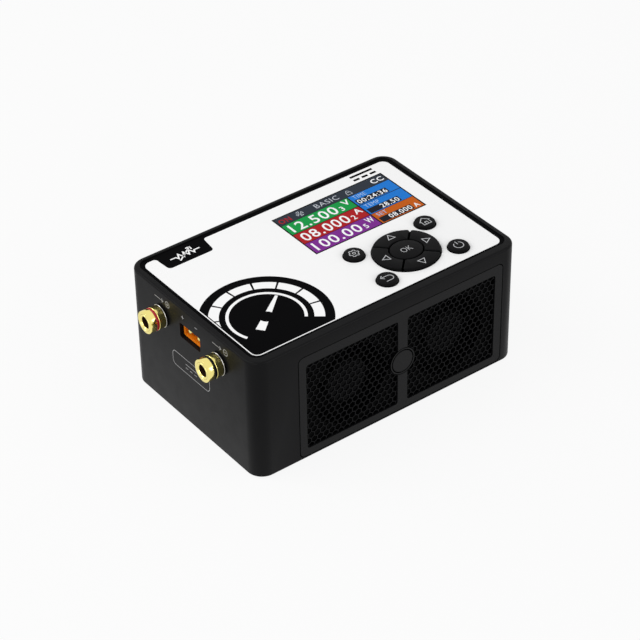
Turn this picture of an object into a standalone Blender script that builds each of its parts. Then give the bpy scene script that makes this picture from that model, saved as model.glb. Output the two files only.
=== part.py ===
"""Bench dc electronic load: a small case with a display, nine keys, binding posts and two fans.

The long axis is X with the binding posts at -X, the fan grille faces -Y, and the case stands on its
feet at Z = 0. All sizes are in metres. The origin is the middle of the whole outline, posts included.
"""

import math

import bmesh
import bpy
from mathutils import Vector

# Case
LENGTH = 0.104
WIDTH = 0.068
CASE_HEIGHT = 0.0444
CORNER_RADIUS = 0.0055
TOP_CHAMFER = 0.0009
WALL = 0.0024
DECK = 0.0016
GAP = 0.0003
SLIP = 0.0002

# Top panel
RIM = 0.0016
PANEL_DROP = 0.0004
PANEL_THICKNESS = 0.0008

# Display
DISPLAY_LENGTH = 0.0444
DISPLAY_WIDTH = 0.0236
DISPLAY_MARGIN_RIGHT = 0.0093
DISPLAY_MARGIN_BACK = 0.0088
DISPLAY_CORNER = 0.0006
DISPLAY_LEDGE = 0.0007
MODULE_MARGIN = 0.0012
MODULE_THICKNESS = 0.0022
MODULE_FRAME = 0.001
MODULE_FRAME_DEPTH = 0.002

# Keys as drawn for a panel of one depth in front of the display
DRAWN_PANEL_DEPTH = 0.0356
DRAWN_FROM_FRONT = 0.0189
DRAWN_PAD_RADIUS = 0.01055
DRAWN_OK_RADIUS = 0.0049
DRAWN_PAD_STEM_AT = 0.0083
DRAWN_ROUND_KEY_RADIUS = 0.0034
DRAWN_ROUND_KEY_X = 0.0144
DRAWN_ROUND_KEY_Y = 0.0084

# The same keys fitted to the depth that the panel has
KEY_FIT = (WIDTH - DISPLAY_MARGIN_BACK - DISPLAY_WIDTH) / DRAWN_PANEL_DEPTH
KEYS_FROM_RIGHT = 0.0308
KEYS_FROM_FRONT = DRAWN_FROM_FRONT * KEY_FIT
PAD_RADIUS = DRAWN_PAD_RADIUS * KEY_FIT
OK_RADIUS = DRAWN_OK_RADIUS * KEY_FIT
PAD_STEM_AT = DRAWN_PAD_STEM_AT * KEY_FIT
ROUND_KEY_RADIUS = DRAWN_ROUND_KEY_RADIUS * KEY_FIT
ROUND_KEY_X = DRAWN_ROUND_KEY_X * KEY_FIT
ROUND_KEY_Y = DRAWN_ROUND_KEY_Y * KEY_FIT

# What all keys share
KEY_PROUD = 0.0011
KEY_TRAVEL = 0.0005
KEY_EDGE = 0.0003
KEY_CLEARANCE = 0.00035
FLANGE_LAP = 0.0004
FLANGE_THICKNESS = 0.0008
PAD_GAP = 0.00045
PAD_CORNER = 0.00055
PAD_STRETCH = 0.00065
STEM_RADIUS = 0.001
STEM_LENGTH = 0.0018

# Switches and key board
SWITCH_SIDE = 0.0044
SWITCH_HEIGHT = 0.0022
BOARD_THICKNESS = 0.0015
KEY_BOARD_LEFT = 0.0112
KEY_BOARD_EDGE = 0.001
KEY_BOSS_RADIUS = 0.0019
KEY_BOSS_INSET = 0.0019

# Fan grille
GRILLE_THICKNESS = 0.0012
GRILLE_CORNER = 0.0018
GRILLE_FROM_LEFT = 0.01635
GRILLE_FROM_TOP = 0.005
GRILLE_FROM_RIGHT = 0.00675
GRILLE_FROM_BOTTOM = 0.00095
GRILLE_LENGTH = LENGTH - GRILLE_FROM_LEFT - GRILLE_FROM_RIGHT
GRILLE_HEIGHT = CASE_HEIGHT - GRILLE_FROM_TOP - GRILLE_FROM_BOTTOM
WINDOW_FROM_LEFT = 0.0027
WINDOW_FROM_RIGHT = 0.0029
WINDOW_FROM_TOP = 0.0034
WINDOW_FROM_BOTTOM = 0.00255
WINDOW_POST = 0.0038
WINDOW_LENGTH = (GRILLE_LENGTH - WINDOW_FROM_LEFT - WINDOW_FROM_RIGHT - WINDOW_POST) / 2
WINDOW_HEIGHT = GRILLE_HEIGHT - WINDOW_FROM_TOP - WINDOW_FROM_BOTTOM
WINDOW_LEDGE = 0.0008
BADGE_RADIUS = 0.00505
CELL_COLUMNS = 7
CELL_BAR = 0.0005

# Fans
FAN_MARGIN = 0.00125
FAN_SIDE = WINDOW_HEIGHT - 2 * FAN_MARGIN
FAN_DEPTH = 0.010
FAN_CORNER = 0.002
FAN_RIM = 0.0008
FAN_BORE = FAN_SIDE / 2 - FAN_RIM
FAN_HOLE_RADIUS = 0.0013
FAN_HOLE_INSET = 0.003
FAN_HOLE_PITCH = FAN_SIDE - 2 * FAN_HOLE_INSET
FAN_STRUT_WIDTH = 0.0018
FAN_STRUT_DEPTH = 0.0016
MOTOR_RADIUS = 0.0072
HUB_RADIUS = 0.0082
HUB_WALL = 0.0011
BLADE_CLEARANCE = 0.0006
BLADE_TIP = FAN_BORE - BLADE_CLEARANCE
BLADE_COUNT = 7
BLADE_SWEEP = math.radians(46)
BLADE_THICKNESS = 0.0006
BLADE_LEAN = 0.25
BLADE_CURVE = 1.2
SHAFT_RADIUS = 0.001
BEARING_WALL = 0.0011

# Binding posts
POST_FROM_MIDDLE = 0.0155
POST_FROM_TOP = 0.0094
POST_REACH = 0.0064
POST_BORE = 0.002
POST_BORE_DEPTH = 0.014
POST_CORE = 0.0028
POST_TAIL = 0.012
CAP_RADIUS = 0.00385
CAP_CLEARANCE = 0.00015
CAP_TURNED_EDGE = 0.0003
RING_FROM_FACE = 0.0022
RING_WIDTH = 0.0011
RING_WALL = 0.0004
WASHER_RADIUS = 0.00395
WASHER_THICKNESS = 0.0004
INSULATOR_RADIUS = 0.0041
INSULATOR_FLANGE = 0.0005
INSULATOR_SLEEVE = 0.0006
WIRE_HOLE = 0.001
NUT_ACROSS_FLATS = 0.008
NUT_THICKNESS = 0.0025
STRAP_WIDTH = 0.0078
STRAP_THICKNESS = 0.001
STRAP_FOOT = 0.006

# Sense connector
SENSE_FROM_TOP = 0.00885
SENSE_OPENING_WIDTH = 0.0109
SENSE_OPENING_HEIGHT = 0.0054
SENSE_RECESS = 0.0013
SENSE_WALL = 0.0008
SENSE_DEPTH = 0.0125
SENSE_SOCKET = 0.009
SENSE_FLANGE = 0.0016
SENSE_FLANGE_THICKNESS = 0.0012
CONTACT_RADIUS = 0.001
CONTACT_PITCH = 0.005
CONTACT_TAIL = 0.002

# Bottom cover, feet and screws
COVER_THICKNESS = 0.0024
FOOT_RADIUS = 0.004
FOOT_THICKNESS = 0.0008
FOOT_PROUD = 0.0006
FOOT_INSET_X = 0.0145
FOOT_INSET_Y = 0.0125
BOSS_RADIUS = 0.0031
BOSS_LAP = 0.0005
BOSS_BORE_DEPTH = 0.012
SCREW_RADIUS = 0.00105
SCREW_LENGTH = 0.0115
SCREW_HEAD_RADIUS = 0.0022
SCREW_HEAD_HEIGHT = 0.0011
SCREW_SINK = 0.0001

# Main board and power stage
STANDOFF_HEIGHT = 0.003
STANDOFF_RADIUS = 0.0025
MAIN_BOARD_EDGE_LEFT = 0.0036
MAIN_BOARD_EDGE_RIGHT = 0.001
MAIN_BOARD_FROM_FANS = 0.0015
MAIN_BOARD_FROM_BACK = 0.0079
TRANSISTOR_LENGTH = 0.021
TRANSISTOR_WIDTH = 0.016
TRANSISTOR_THICKNESS = 0.005
TRANSISTOR_FROM_MIDDLE = 0.0146
LEAD_COUNT = 3
LEAD_PITCH = 0.0054
LEAD_WIDTH = 0.0012
LEAD_THICKNESS = 0.0006
LEAD_REACH = 0.004
SINK_BASE = 0.003
SINK_LEG = 0.002
SINK_UNDER_KEY_BOARD = 0.0025
SINK_FROM_BACK = 0.0114
SINK_FROM_LEFT = 0.0205
SINK_FROM_RIGHT = 0.0105
FIN_COUNT = 13
FIN_THICKNESS = 0.0012

# Socket for the supply, and the exhaust slots
USB_WIDTH = 0.0089
USB_HEIGHT = 0.0032
USB_DEPTH = 0.0073
USB_WALL = 0.0004
USB_RECESS = 0.0003
USB_TONGUE_WIDTH = 0.0066
USB_TONGUE_THICKNESS = 0.0007
USB_FROM_MIDDLE = 0.008
SLOT_COUNT = 13
SLOT_WIDTH = 0.0024
SLOT_PITCH = 0.0056
SLOT_FROM_TOP = 0.009
SLOT_FROM_BOTTOM = 0.0114

# Facets
ROUND_STEPS = 18
SMALL_STEPS = 8
PAD_STEPS = 36
CASE_CORNER_STEPS = 4
CORNER_STEPS = 2
OVERSHOOT = 0.001
END_ROUND = 0.48
SOFT_EDGE = 0.0003
SMOOTH_BELOW = math.radians(35)

# Heights that follow from the sizes above
CASE_BOTTOM = FOOT_PROUD
CASE_TOP = CASE_BOTTOM + CASE_HEIGHT
PANEL_TOP = CASE_TOP - PANEL_DROP
PANEL_BOTTOM = PANEL_TOP - PANEL_THICKNESS
RECESS_FLOOR = PANEL_BOTTOM - GAP
DECK_UNDER = RECESS_FLOOR - DECK
KEY_TOP = PANEL_TOP + KEY_PROUD
FLANGE_TOP = DECK_UNDER - GAP
FLANGE_BOTTOM = FLANGE_TOP - FLANGE_THICKNESS
STEM_BOTTOM = FLANGE_BOTTOM - STEM_LENGTH
SWITCH_TOP = FLANGE_BOTTOM - KEY_TRAVEL - GAP
SWITCH_BOTTOM = SWITCH_TOP - SWITCH_HEIGHT
KEY_BOARD_TOP = SWITCH_BOTTOM - GAP
KEY_BOARD_BOTTOM = KEY_BOARD_TOP - BOARD_THICKNESS
COVER_TOP = CASE_BOTTOM + COVER_THICKNESS
MAIN_BOARD_BOTTOM = COVER_TOP + STANDOFF_HEIGHT + GAP
MAIN_BOARD_TOP = MAIN_BOARD_BOTTOM + BOARD_THICKNESS
SINK_UNDER = MAIN_BOARD_TOP + GAP + TRANSISTOR_THICKNESS + GAP
SINK_TOP = KEY_BOARD_BOTTOM - SINK_UNDER_KEY_BOARD

# Places that follow from the sizes above
LEFT = -LENGTH / 2
RIGHT = LENGTH / 2
FRONT = -WIDTH / 2
BACK = WIDTH / 2
DISPLAY_X = RIGHT - DISPLAY_MARGIN_RIGHT - DISPLAY_LENGTH / 2
DISPLAY_Y = BACK - DISPLAY_MARGIN_BACK - DISPLAY_WIDTH / 2
KEYS_X = RIGHT - KEYS_FROM_RIGHT
KEYS_Y = FRONT + KEYS_FROM_FRONT
POST_Z = CASE_TOP - POST_FROM_TOP
SENSE_Z = CASE_TOP - SENSE_FROM_TOP
GRILLE_X = LEFT + GRILLE_FROM_LEFT + GRILLE_LENGTH / 2
GRILLE_Z = CASE_TOP - GRILLE_FROM_TOP - GRILLE_HEIGHT / 2
WINDOW_SHIFT = (WINDOW_LENGTH + WINDOW_POST) / 2
WINDOW_X = WINDOW_FROM_LEFT + WINDOW_LENGTH + WINDOW_POST / 2 - GRILLE_LENGTH / 2
WINDOW_Z = GRILLE_HEIGHT / 2 - WINDOW_FROM_TOP - WINDOW_HEIGHT / 2
FAN_FRONT = FRONT + WALL + GAP
FAN_BACK = FAN_FRONT + FAN_DEPTH
BOSS_INSET = WALL + BOSS_RADIUS - BOSS_LAP
BOARD_FRONT = FAN_BACK + MAIN_BOARD_FROM_FANS

# Turns that lay a piece's own Z axis along another direction
UPRIGHT = (0.0, 0.0, 0.0)
FACING_FRONT = (math.pi / 2, 0.0, 0.0)
FACING_LEFT = (0.0, -math.pi / 2, 0.0)

PARTS_NAME = "dc_electronic_load"
TOOLS_NAME = "cutters"
BASE_NAME = "load_base"

FINISHES = {
    "case_plastic": ((0.020, 0.020, 0.021), 0.42, 0.0),
    "panel_white": ((0.86, 0.86, 0.86), 0.30, 0.0),
    "display_glass": ((0.010, 0.011, 0.014), 0.08, 0.0),
    "key_rubber": ((0.012, 0.012, 0.013), 0.55, 0.0),
    "grille_plastic": ((0.018, 0.018, 0.019), 0.45, 0.0),
    "fan_plastic": ((0.012, 0.012, 0.012), 0.50, 0.0),
    "gold_plate": ((0.83, 0.62, 0.24), 0.18, 1.0),
    "nickel_plate": ((0.62, 0.61, 0.58), 0.25, 1.0),
    "red_plastic": ((0.48, 0.02, 0.03), 0.35, 0.0),
    "black_plastic": ((0.014, 0.014, 0.014), 0.40, 0.0),
    "orange_plastic": ((0.85, 0.27, 0.01), 0.40, 0.0),
    "board_green": ((0.01, 0.10, 0.04), 0.45, 0.0),
    "aluminium": ((0.72, 0.73, 0.74), 0.35, 1.0),
    "steel": ((0.45, 0.45, 0.46), 0.30, 1.0),
    "copper": ((0.72, 0.42, 0.25), 0.30, 1.0),
    "foot_rubber": ((0.015, 0.015, 0.015), 0.80, 0.0),
}


def clear_scene():
    """Removes every object, so that the script starts from an empty scene."""
    for obj in list(bpy.data.objects):
        bpy.data.objects.remove(obj)


def collection(name):
    """The collection of that name, made on first use."""
    found = bpy.data.collections.get(name)
    if found is None:
        found = bpy.data.collections.new(name)
        bpy.context.scene.collection.children.link(found)
    return found


def material(name):
    """The Principled material of one finish, made on first use."""
    found = bpy.data.materials.get(name)
    if found is None:
        colour, roughness, metallic = FINISHES[name]
        found = bpy.data.materials.new(name)
        found.use_nodes = True
        shader = found.node_tree.nodes["Principled BSDF"]
        shader.inputs["Base Color"].default_value = (*colour, 1.0)
        shader.inputs["Roughness"].default_value = roughness
        shader.inputs["Metallic"].default_value = metallic
        found.diffuse_color = (*colour, 1.0)
    return found


def base():
    """The empty that carries every piece and centres the whole outline on the origin."""
    found = bpy.data.objects.get(BASE_NAME)
    if found is None:
        found = bpy.data.objects.new(BASE_NAME, None)
        bpy.context.scene.collection.objects.link(found)
        found.location = (POST_REACH / 2, 0.0, 0.0)
    return found


def place(name, mesh, finish, at, turn):
    """Makes an object of a mesh: a part if it has a finish, and a cutter if it has none."""
    obj = bpy.data.objects.new(name, mesh)
    if finish is None:
        collection(TOOLS_NAME).objects.link(obj)
        obj.hide_render = True
        obj.display_type = "WIRE"
    else:
        collection(PARTS_NAME).objects.link(obj)
        mesh.materials.append(material(finish))
    obj.parent = base()
    obj.location = at
    obj.rotation_euler = turn
    return obj


def finish_mesh(name, bm):
    """Turns a bmesh into a mesh that is smooth across its round faces."""
    mesh = bpy.data.meshes.new(name)
    bm.to_mesh(mesh)
    bm.free()
    mesh.shade_smooth()
    mesh.set_sharp_from_angle(angle=SMOOTH_BELOW)
    return mesh


def add_block(bm, low, high, radius=0.0, along="z", steps=CORNER_STEPS):
    """Adds a box between two corners, with the edges along one axis rounded."""
    low, high = Vector(low), Vector(high)
    size = high - low
    verts = bmesh.ops.create_cube(bm, size=1.0)["verts"]
    bmesh.ops.scale(bm, vec=size, verts=verts)
    bmesh.ops.translate(bm, vec=(low + high) / 2, verts=verts)
    if radius > 0.0:
        axis = "xyz".index(along)
        edges = {edge for vert in verts for edge in vert.link_edges}
        upright = [e for e in edges if abs(e.verts[0].co[axis] - e.verts[1].co[axis]) > size[axis] / 2]
        bmesh.ops.bevel(bm, geom=upright, offset=radius, segments=steps, profile=0.5, affect="EDGES")


def add_rod(bm, radius, low, high, x=0.0, y=0.0, steps=ROUND_STEPS):
    """Adds an upright cylinder between two heights."""
    made = bmesh.ops.create_cone(
        bm, cap_ends=True, segments=steps, radius1=radius, radius2=radius, depth=high - low)
    bmesh.ops.translate(bm, vec=(x, y, (low + high) / 2), verts=made["verts"])


def block(name, low, high, finish=None, radius=0.0, along="z", at=(0, 0, 0), turn=UPRIGHT,
          steps=CORNER_STEPS):
    """One box as an object, in the frame given by its place and turn."""
    bm = bmesh.new()
    add_block(bm, low, high, radius, along, steps)
    return place(name, finish_mesh(name, bm), finish, at, turn)


def rod(name, radius, low, high, finish=None, at=(0, 0, 0), turn=UPRIGHT, steps=ROUND_STEPS):
    """One cylinder as an object, along its own Z axis."""
    bm = bmesh.new()
    add_rod(bm, radius, low, high, steps=steps)
    return place(name, finish_mesh(name, bm), finish, at, turn)


def turned(name, profile, finish=None, at=(0, 0, 0), turn=UPRIGHT, steps=ROUND_STEPS):
    """Turns a profile of (radius, height) points about the piece's own Z axis.

    A profile that starts and ends on the axis stays open there, and any other is closed to a ring.
    The points run down the outer side, from top to bottom.
    """
    edges = [(i, i + 1) for i in range(len(profile) - 1)]
    if profile[0][0] > 0.0:
        edges.append((len(profile) - 1, 0))
    mesh = bpy.data.meshes.new(name)
    mesh.from_pydata([(radius, 0.0, height) for radius, height in profile], edges, [])
    obj = place(name, mesh, finish, at, turn)
    screw = obj.modifiers.new("turn", "SCREW")
    screw.steps = steps
    screw.render_steps = steps
    screw.use_merge_vertices = True
    screw.merge_threshold = 0.00001
    return obj


def stretch_oval(obj, stretch, core):
    """Lengthens a turned piece along X by the same amount at every radius beyond its core."""
    graph = bpy.context.evaluated_depsgraph_get()
    graph.update()
    mesh = bpy.data.meshes.new_from_object(obj.evaluated_get(graph))
    for vert in mesh.vertices:
        radius = math.hypot(vert.co.x, vert.co.y)
        if radius > core:
            vert.co.x *= (radius + stretch) / radius
    mesh.shade_smooth()
    mesh.set_sharp_from_angle(angle=SMOOTH_BELOW)
    obj.modifiers.clear()
    obj.data = mesh


def combine(target, tool, operation):
    """Adds a Boolean step of one object with another."""
    step = target.modifiers.new(tool.name, "BOOLEAN")
    step.object = tool
    step.operation = operation
    step.solver = "EXACT"


def cut(target, *tools):
    """Cuts each tool out of the target."""
    for tool in tools:
        combine(target, tool, "DIFFERENCE")


def fuse(target, *tools):
    """Joins each tool to the target."""
    for tool in tools:
        combine(target, tool, "UNION")


def corners(x, y):
    """The four places at plus and minus x and y."""
    return [(sx * x, sy * y) for sx in (-1, 1) for sy in (-1, 1)]


def round_key_places():
    """Name and centre of each round key."""
    return {
        "settings": (KEYS_X - ROUND_KEY_X, KEYS_Y + ROUND_KEY_Y),
        "home": (KEYS_X + ROUND_KEY_X, KEYS_Y + ROUND_KEY_Y),
        "return": (KEYS_X - ROUND_KEY_X, KEYS_Y - ROUND_KEY_Y),
        "power": (KEYS_X + ROUND_KEY_X, KEYS_Y - ROUND_KEY_Y),
    }


def pad_key_angles():
    """Name and direction of each key of the round pad."""
    return {"right": 0.0, "up": math.pi / 2, "left": math.pi, "down": -math.pi / 2}


def stem_places():
    """Name and stem centre of every key."""
    places = dict(round_key_places())
    places["ok"] = (KEYS_X, KEYS_Y)
    for name, angle in pad_key_angles().items():
        x = KEYS_X + (PAD_STEM_AT + PAD_STRETCH) * math.cos(angle)
        y = KEYS_Y + PAD_STEM_AT * math.sin(angle)
        places[name] = (x, y)
    return places


def key_openings(name, low, high):
    """Cutter for the four round key holes and the oval hole of the pad."""
    bm = bmesh.new()
    for x, y in round_key_places().values():
        add_rod(bm, ROUND_KEY_RADIUS + KEY_CLEARANCE, low, high, x, y)
    made = bmesh.ops.create_cone(
        bm, cap_ends=True, segments=PAD_STEPS, radius1=1.0, radius2=1.0, depth=high - low)
    radius = PAD_RADIUS + KEY_CLEARANCE
    bmesh.ops.scale(bm, vec=(radius + PAD_STRETCH, radius, 1.0), verts=made["verts"])
    bmesh.ops.translate(bm, vec=(KEYS_X, KEYS_Y, (low + high) / 2), verts=made["verts"])
    return place(name, finish_mesh(name, bm), None, (0, 0, 0), UPRIGHT)


def display_block(name, grow, low, high):
    """Cutter on the display's outline, grown by a margin on each side."""
    x, y = DISPLAY_LENGTH / 2 + grow, DISPLAY_WIDTH / 2 + grow
    return block(name, (DISPLAY_X - x, DISPLAY_Y - y, low), (DISPLAY_X + x, DISPLAY_Y + y, high),
                 radius=DISPLAY_CORNER)


def housing_shell():
    """The rounded case with its top edge chamfered, still solid."""
    bm = bmesh.new()
    add_block(bm, (LEFT, FRONT, CASE_BOTTOM), (RIGHT, BACK, CASE_TOP), CORNER_RADIUS,
              steps=CASE_CORNER_STEPS)
    top = [e for e in bm.edges if all(vert.co.z > CASE_TOP - GAP for vert in e.verts)]
    bmesh.ops.bevel(bm, geom=top, offset=TOP_CHAMFER, segments=1, affect="EDGES")
    return place("housing", finish_mesh("housing", bm), "case_plastic", (0, 0, 0), UPRIGHT)


def housing_bosses():
    """Screw bosses in the case corners, and the shorter bosses that carry the key board."""
    bm = bmesh.new()
    top = DECK_UNDER + BOSS_LAP
    for x, y in corners(RIGHT - BOSS_INSET, BACK - BOSS_INSET):
        add_rod(bm, BOSS_RADIUS, COVER_TOP + GAP, top, x, y, SMALL_STEPS)
    for x, y in key_boss_places():
        add_rod(bm, KEY_BOSS_RADIUS, KEY_BOARD_TOP + GAP, top, x, y, SMALL_STEPS)
    return place("housing_bosses", finish_mesh("housing_bosses", bm), None, (0, 0, 0), UPRIGHT)


def key_board_outline():
    """Left, front, right and back edges of the key board."""
    left = DISPLAY_X - DISPLAY_LENGTH / 2 - MODULE_MARGIN - KEY_BOARD_LEFT
    right = DISPLAY_X + DISPLAY_LENGTH / 2 - KEY_BOARD_EDGE
    front = FRONT + WALL + KEY_BOARD_EDGE
    back = BACK - WALL - KEY_BOARD_EDGE
    return left, front, right, back


def key_boss_places():
    """Centres of the four bosses above the key board's corners."""
    left, front, right, back = key_board_outline()
    inset = KEY_BOSS_INSET
    return [(x, y) for x in (left + inset, right - inset) for y in (front + inset, back - inset)]


def boss_bores():
    """Pilot holes for the cover's screws."""
    bm = bmesh.new()
    low = COVER_TOP - OVERSHOOT
    high = COVER_TOP + BOSS_BORE_DEPTH
    for x, y in corners(RIGHT - BOSS_INSET, BACK - BOSS_INSET):
        add_rod(bm, SCREW_RADIUS + GAP, low, high, x, y, SMALL_STEPS)
    return place("boss_bores", finish_mesh("boss_bores", bm), None, (0, 0, 0), UPRIGHT)


def exhaust_slots():
    """Upright slots through the back wall, behind the heat sink."""
    bm = bmesh.new()
    middle = (SINK_FROM_LEFT - SINK_FROM_RIGHT) / 2
    top = CASE_TOP - SLOT_FROM_TOP
    for i in range(SLOT_COUNT):
        x = middle + (i - (SLOT_COUNT - 1) / 2) * SLOT_PITCH
        low = (x - SLOT_WIDTH / 2, BACK - WALL - OVERSHOOT, CASE_BOTTOM + SLOT_FROM_BOTTOM)
        high = (x + SLOT_WIDTH / 2, BACK + OVERSHOOT, top)
        add_block(bm, low, high, SLOT_WIDTH * END_ROUND, "y")
    return place("exhaust_slots", finish_mesh("exhaust_slots", bm), None, (0, 0, 0), UPRIGHT)


def grille_block(name, grow, near, far, radius):
    """Cutter on the grille's outline in the front wall, between two depths."""
    x, z = GRILLE_LENGTH / 2 + grow, GRILLE_HEIGHT / 2 + grow
    return block(name, (GRILLE_X - x, near, GRILLE_Z - z), (GRILLE_X + x, far, GRILLE_Z + z),
                 radius=radius, along="y", steps=3)


def wall_windows():
    """The two openings in the front wall, behind the grille's windows."""
    bm = bmesh.new()
    for side in (-1, 1):
        x = GRILLE_X + WINDOW_X + side * WINDOW_SHIFT
        z = GRILLE_Z + WINDOW_Z
        half_x, half_z = WINDOW_LENGTH / 2 + WINDOW_LEDGE, WINDOW_HEIGHT / 2 + WINDOW_LEDGE
        add_block(bm, (x - half_x, FRONT - OVERSHOOT, z - half_z),
                  (x + half_x, FRONT + WALL + OVERSHOOT, z + half_z), GRILLE_CORNER / 2, "y")
    return place("wall_windows", finish_mesh("wall_windows", bm), None, (0, 0, 0), UPRIGHT)


def build_housing():
    """The case: walls, top deck, bosses and every opening in them."""
    shell = housing_shell()
    cavity = block("case_cavity", (LEFT + WALL, FRONT + WALL, CASE_BOTTOM - OVERSHOOT),
                   (RIGHT - WALL, BACK - WALL, DECK_UNDER), radius=CORNER_RADIUS - WALL,
                   steps=CASE_CORNER_STEPS)
    recess = block("panel_recess", (LEFT + RIM, FRONT + RIM, RECESS_FLOOR),
                   (RIGHT - RIM, BACK - RIM, CASE_TOP + OVERSHOOT), radius=CORNER_RADIUS - RIM,
                   steps=CASE_CORNER_STEPS)
    cut(shell, cavity, recess)
    frame = display_block("module_frame", MODULE_MARGIN + GAP + MODULE_FRAME,
                          DECK_UNDER - MODULE_FRAME_DEPTH, DECK_UNDER + BOSS_LAP)
    frame_inside = display_block("module_frame_inside", MODULE_MARGIN + GAP,
                                 DECK_UNDER - MODULE_FRAME_DEPTH - OVERSHOOT, DECK_UNDER)
    fuse(shell, frame, housing_bosses())
    cut(shell, frame_inside, boss_bores())
    window = display_block("deck_window", -DISPLAY_LEDGE, DECK_UNDER - OVERSHOOT, CASE_TOP)
    holes = key_openings("deck_key_holes", DECK_UNDER - OVERSHOOT, CASE_TOP)
    pocket = grille_block("grille_pocket", SLIP, FRONT - OVERSHOOT,
                          FRONT + GRILLE_THICKNESS + GAP, GRILLE_CORNER + SLIP)
    cut(shell, window, holes, pocket, wall_windows(), exhaust_slots())
    cut(shell, *end_openings())


def end_openings():
    """Holes in the two end walls, for the posts, the sense connector and the supply socket."""
    bm = bmesh.new()
    radius = POST_CORE + INSULATOR_SLEEVE + 2 * SLIP
    for side in (-1, 1):
        add_rod(bm, radius, -WALL - OVERSHOOT, OVERSHOOT, 0.0, side * POST_FROM_MIDDLE)
    posts = place("post_holes", finish_mesh("post_holes", bm), None, (LEFT, 0, POST_Z), FACING_LEFT)
    half_y, half_z = SENSE_OPENING_WIDTH / 2, SENSE_OPENING_HEIGHT / 2
    sense = block("sense_opening", (LEFT - OVERSHOOT, -half_y, SENSE_Z - half_z),
                  (LEFT + WALL + OVERSHOOT, half_y, SENSE_Z + half_z), radius=2 * GAP, along="x")
    half_y, half_z = USB_WIDTH / 2 + GAP, USB_HEIGHT / 2 + GAP
    z = MAIN_BOARD_TOP + GAP + USB_HEIGHT / 2
    socket = block("usb_opening", (RIGHT - WALL - OVERSHOOT, USB_FROM_MIDDLE - half_y, z - half_z),
                   (RIGHT + OVERSHOOT, USB_FROM_MIDDLE + half_y, z + half_z),
                   radius=USB_HEIGHT / 2, along="x")
    return posts, sense, socket


def build_panel():
    """The printed sheet let into the top, with its display window and key holes."""
    inset = RIM + SLIP
    panel = block("top_panel", (LEFT + inset, FRONT + inset, PANEL_BOTTOM),
                  (RIGHT - inset, BACK - inset, PANEL_TOP), "panel_white", CORNER_RADIUS - inset,
                  steps=CASE_CORNER_STEPS)
    window = display_block("panel_window", SLIP, PANEL_BOTTOM - OVERSHOOT, PANEL_TOP + OVERSHOOT)
    holes = key_openings("panel_key_holes", PANEL_BOTTOM - OVERSHOOT, PANEL_TOP + OVERSHOOT)
    cut(panel, window, holes)


def build_display():
    """The cover glass in the panel's window and the display module under the deck."""
    x, y = DISPLAY_LENGTH / 2, DISPLAY_WIDTH / 2
    block("display_glass", (-x, -y, -PANEL_THICKNESS), (x, y, 0), "display_glass",
          DISPLAY_CORNER, at=(DISPLAY_X, DISPLAY_Y, PANEL_TOP))
    x, y = x + MODULE_MARGIN, y + MODULE_MARGIN
    block("display_module", (-x, -y, -MODULE_THICKNESS), (x, y, 0), "steel",
          DISPLAY_CORNER, at=(DISPLAY_X, DISPLAY_Y, DECK_UNDER - GAP))


def key_profile(radius):
    """Outline of a turned key: crowned head, retaining flange and switch stem."""
    flange = radius + KEY_CLEARANCE + FLANGE_LAP
    return [
        (0.0, KEY_TOP),
        (radius - KEY_EDGE, KEY_TOP - KEY_EDGE / 3),
        (radius, KEY_TOP - KEY_EDGE),
        (radius, FLANGE_TOP),
        (flange, FLANGE_TOP),
        (flange, FLANGE_BOTTOM),
        (STEM_RADIUS, FLANGE_BOTTOM),
        (STEM_RADIUS, STEM_BOTTOM),
        (0.0, STEM_BOTTOM),
    ]


def pad_profile():
    """Outline of the ring from which the four arrow keys are cut."""
    inner = OK_RADIUS + PAD_GAP
    inner_low = OK_RADIUS + KEY_CLEARANCE + FLANGE_LAP + PAD_GAP
    step = FLANGE_TOP + KEY_TRAVEL + GAP
    flange = PAD_RADIUS + KEY_CLEARANCE + FLANGE_LAP
    return [
        (PAD_RADIUS - KEY_EDGE, KEY_TOP),
        (PAD_RADIUS, KEY_TOP - KEY_EDGE),
        (PAD_RADIUS, FLANGE_TOP),
        (flange, FLANGE_TOP),
        (flange, FLANGE_BOTTOM),
        (inner_low, FLANGE_BOTTOM),
        (inner_low, step),
        (inner, step),
        (inner, KEY_TOP - KEY_EDGE / 2),
        (inner + KEY_EDGE / 2, KEY_TOP),
    ]


def pad_wedge(name, angle):
    """A quarter of the pad as a wedge, drawn in by half the gap, that also cuts the rim's corners off."""
    tip = PAD_GAP / math.sqrt(2)
    corner = (PAD_RADIUS - PAD_GAP / 2 - PAD_CORNER) / math.sqrt(2)
    reach = 2 * PAD_RADIUS
    outline = [(tip, 0.0), (tip + corner, -corner), (reach, -corner), (reach, corner), (tip + corner, corner)]
    bm = bmesh.new()
    face = bm.faces.new([bm.verts.new((x, y, STEM_BOTTOM)) for x, y in outline])
    raised = bmesh.ops.extrude_face_region(bm, geom=[face])["geom"]
    verts = [item for item in raised if isinstance(item, bmesh.types.BMVert)]
    bmesh.ops.translate(bm, vec=(0, 0, KEY_TOP - STEM_BOTTOM + OVERSHOOT), verts=verts)
    bmesh.ops.recalc_face_normals(bm, faces=bm.faces)
    return place(name, finish_mesh(name, bm), None, (KEYS_X, KEYS_Y, 0), (0, 0, angle))


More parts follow.
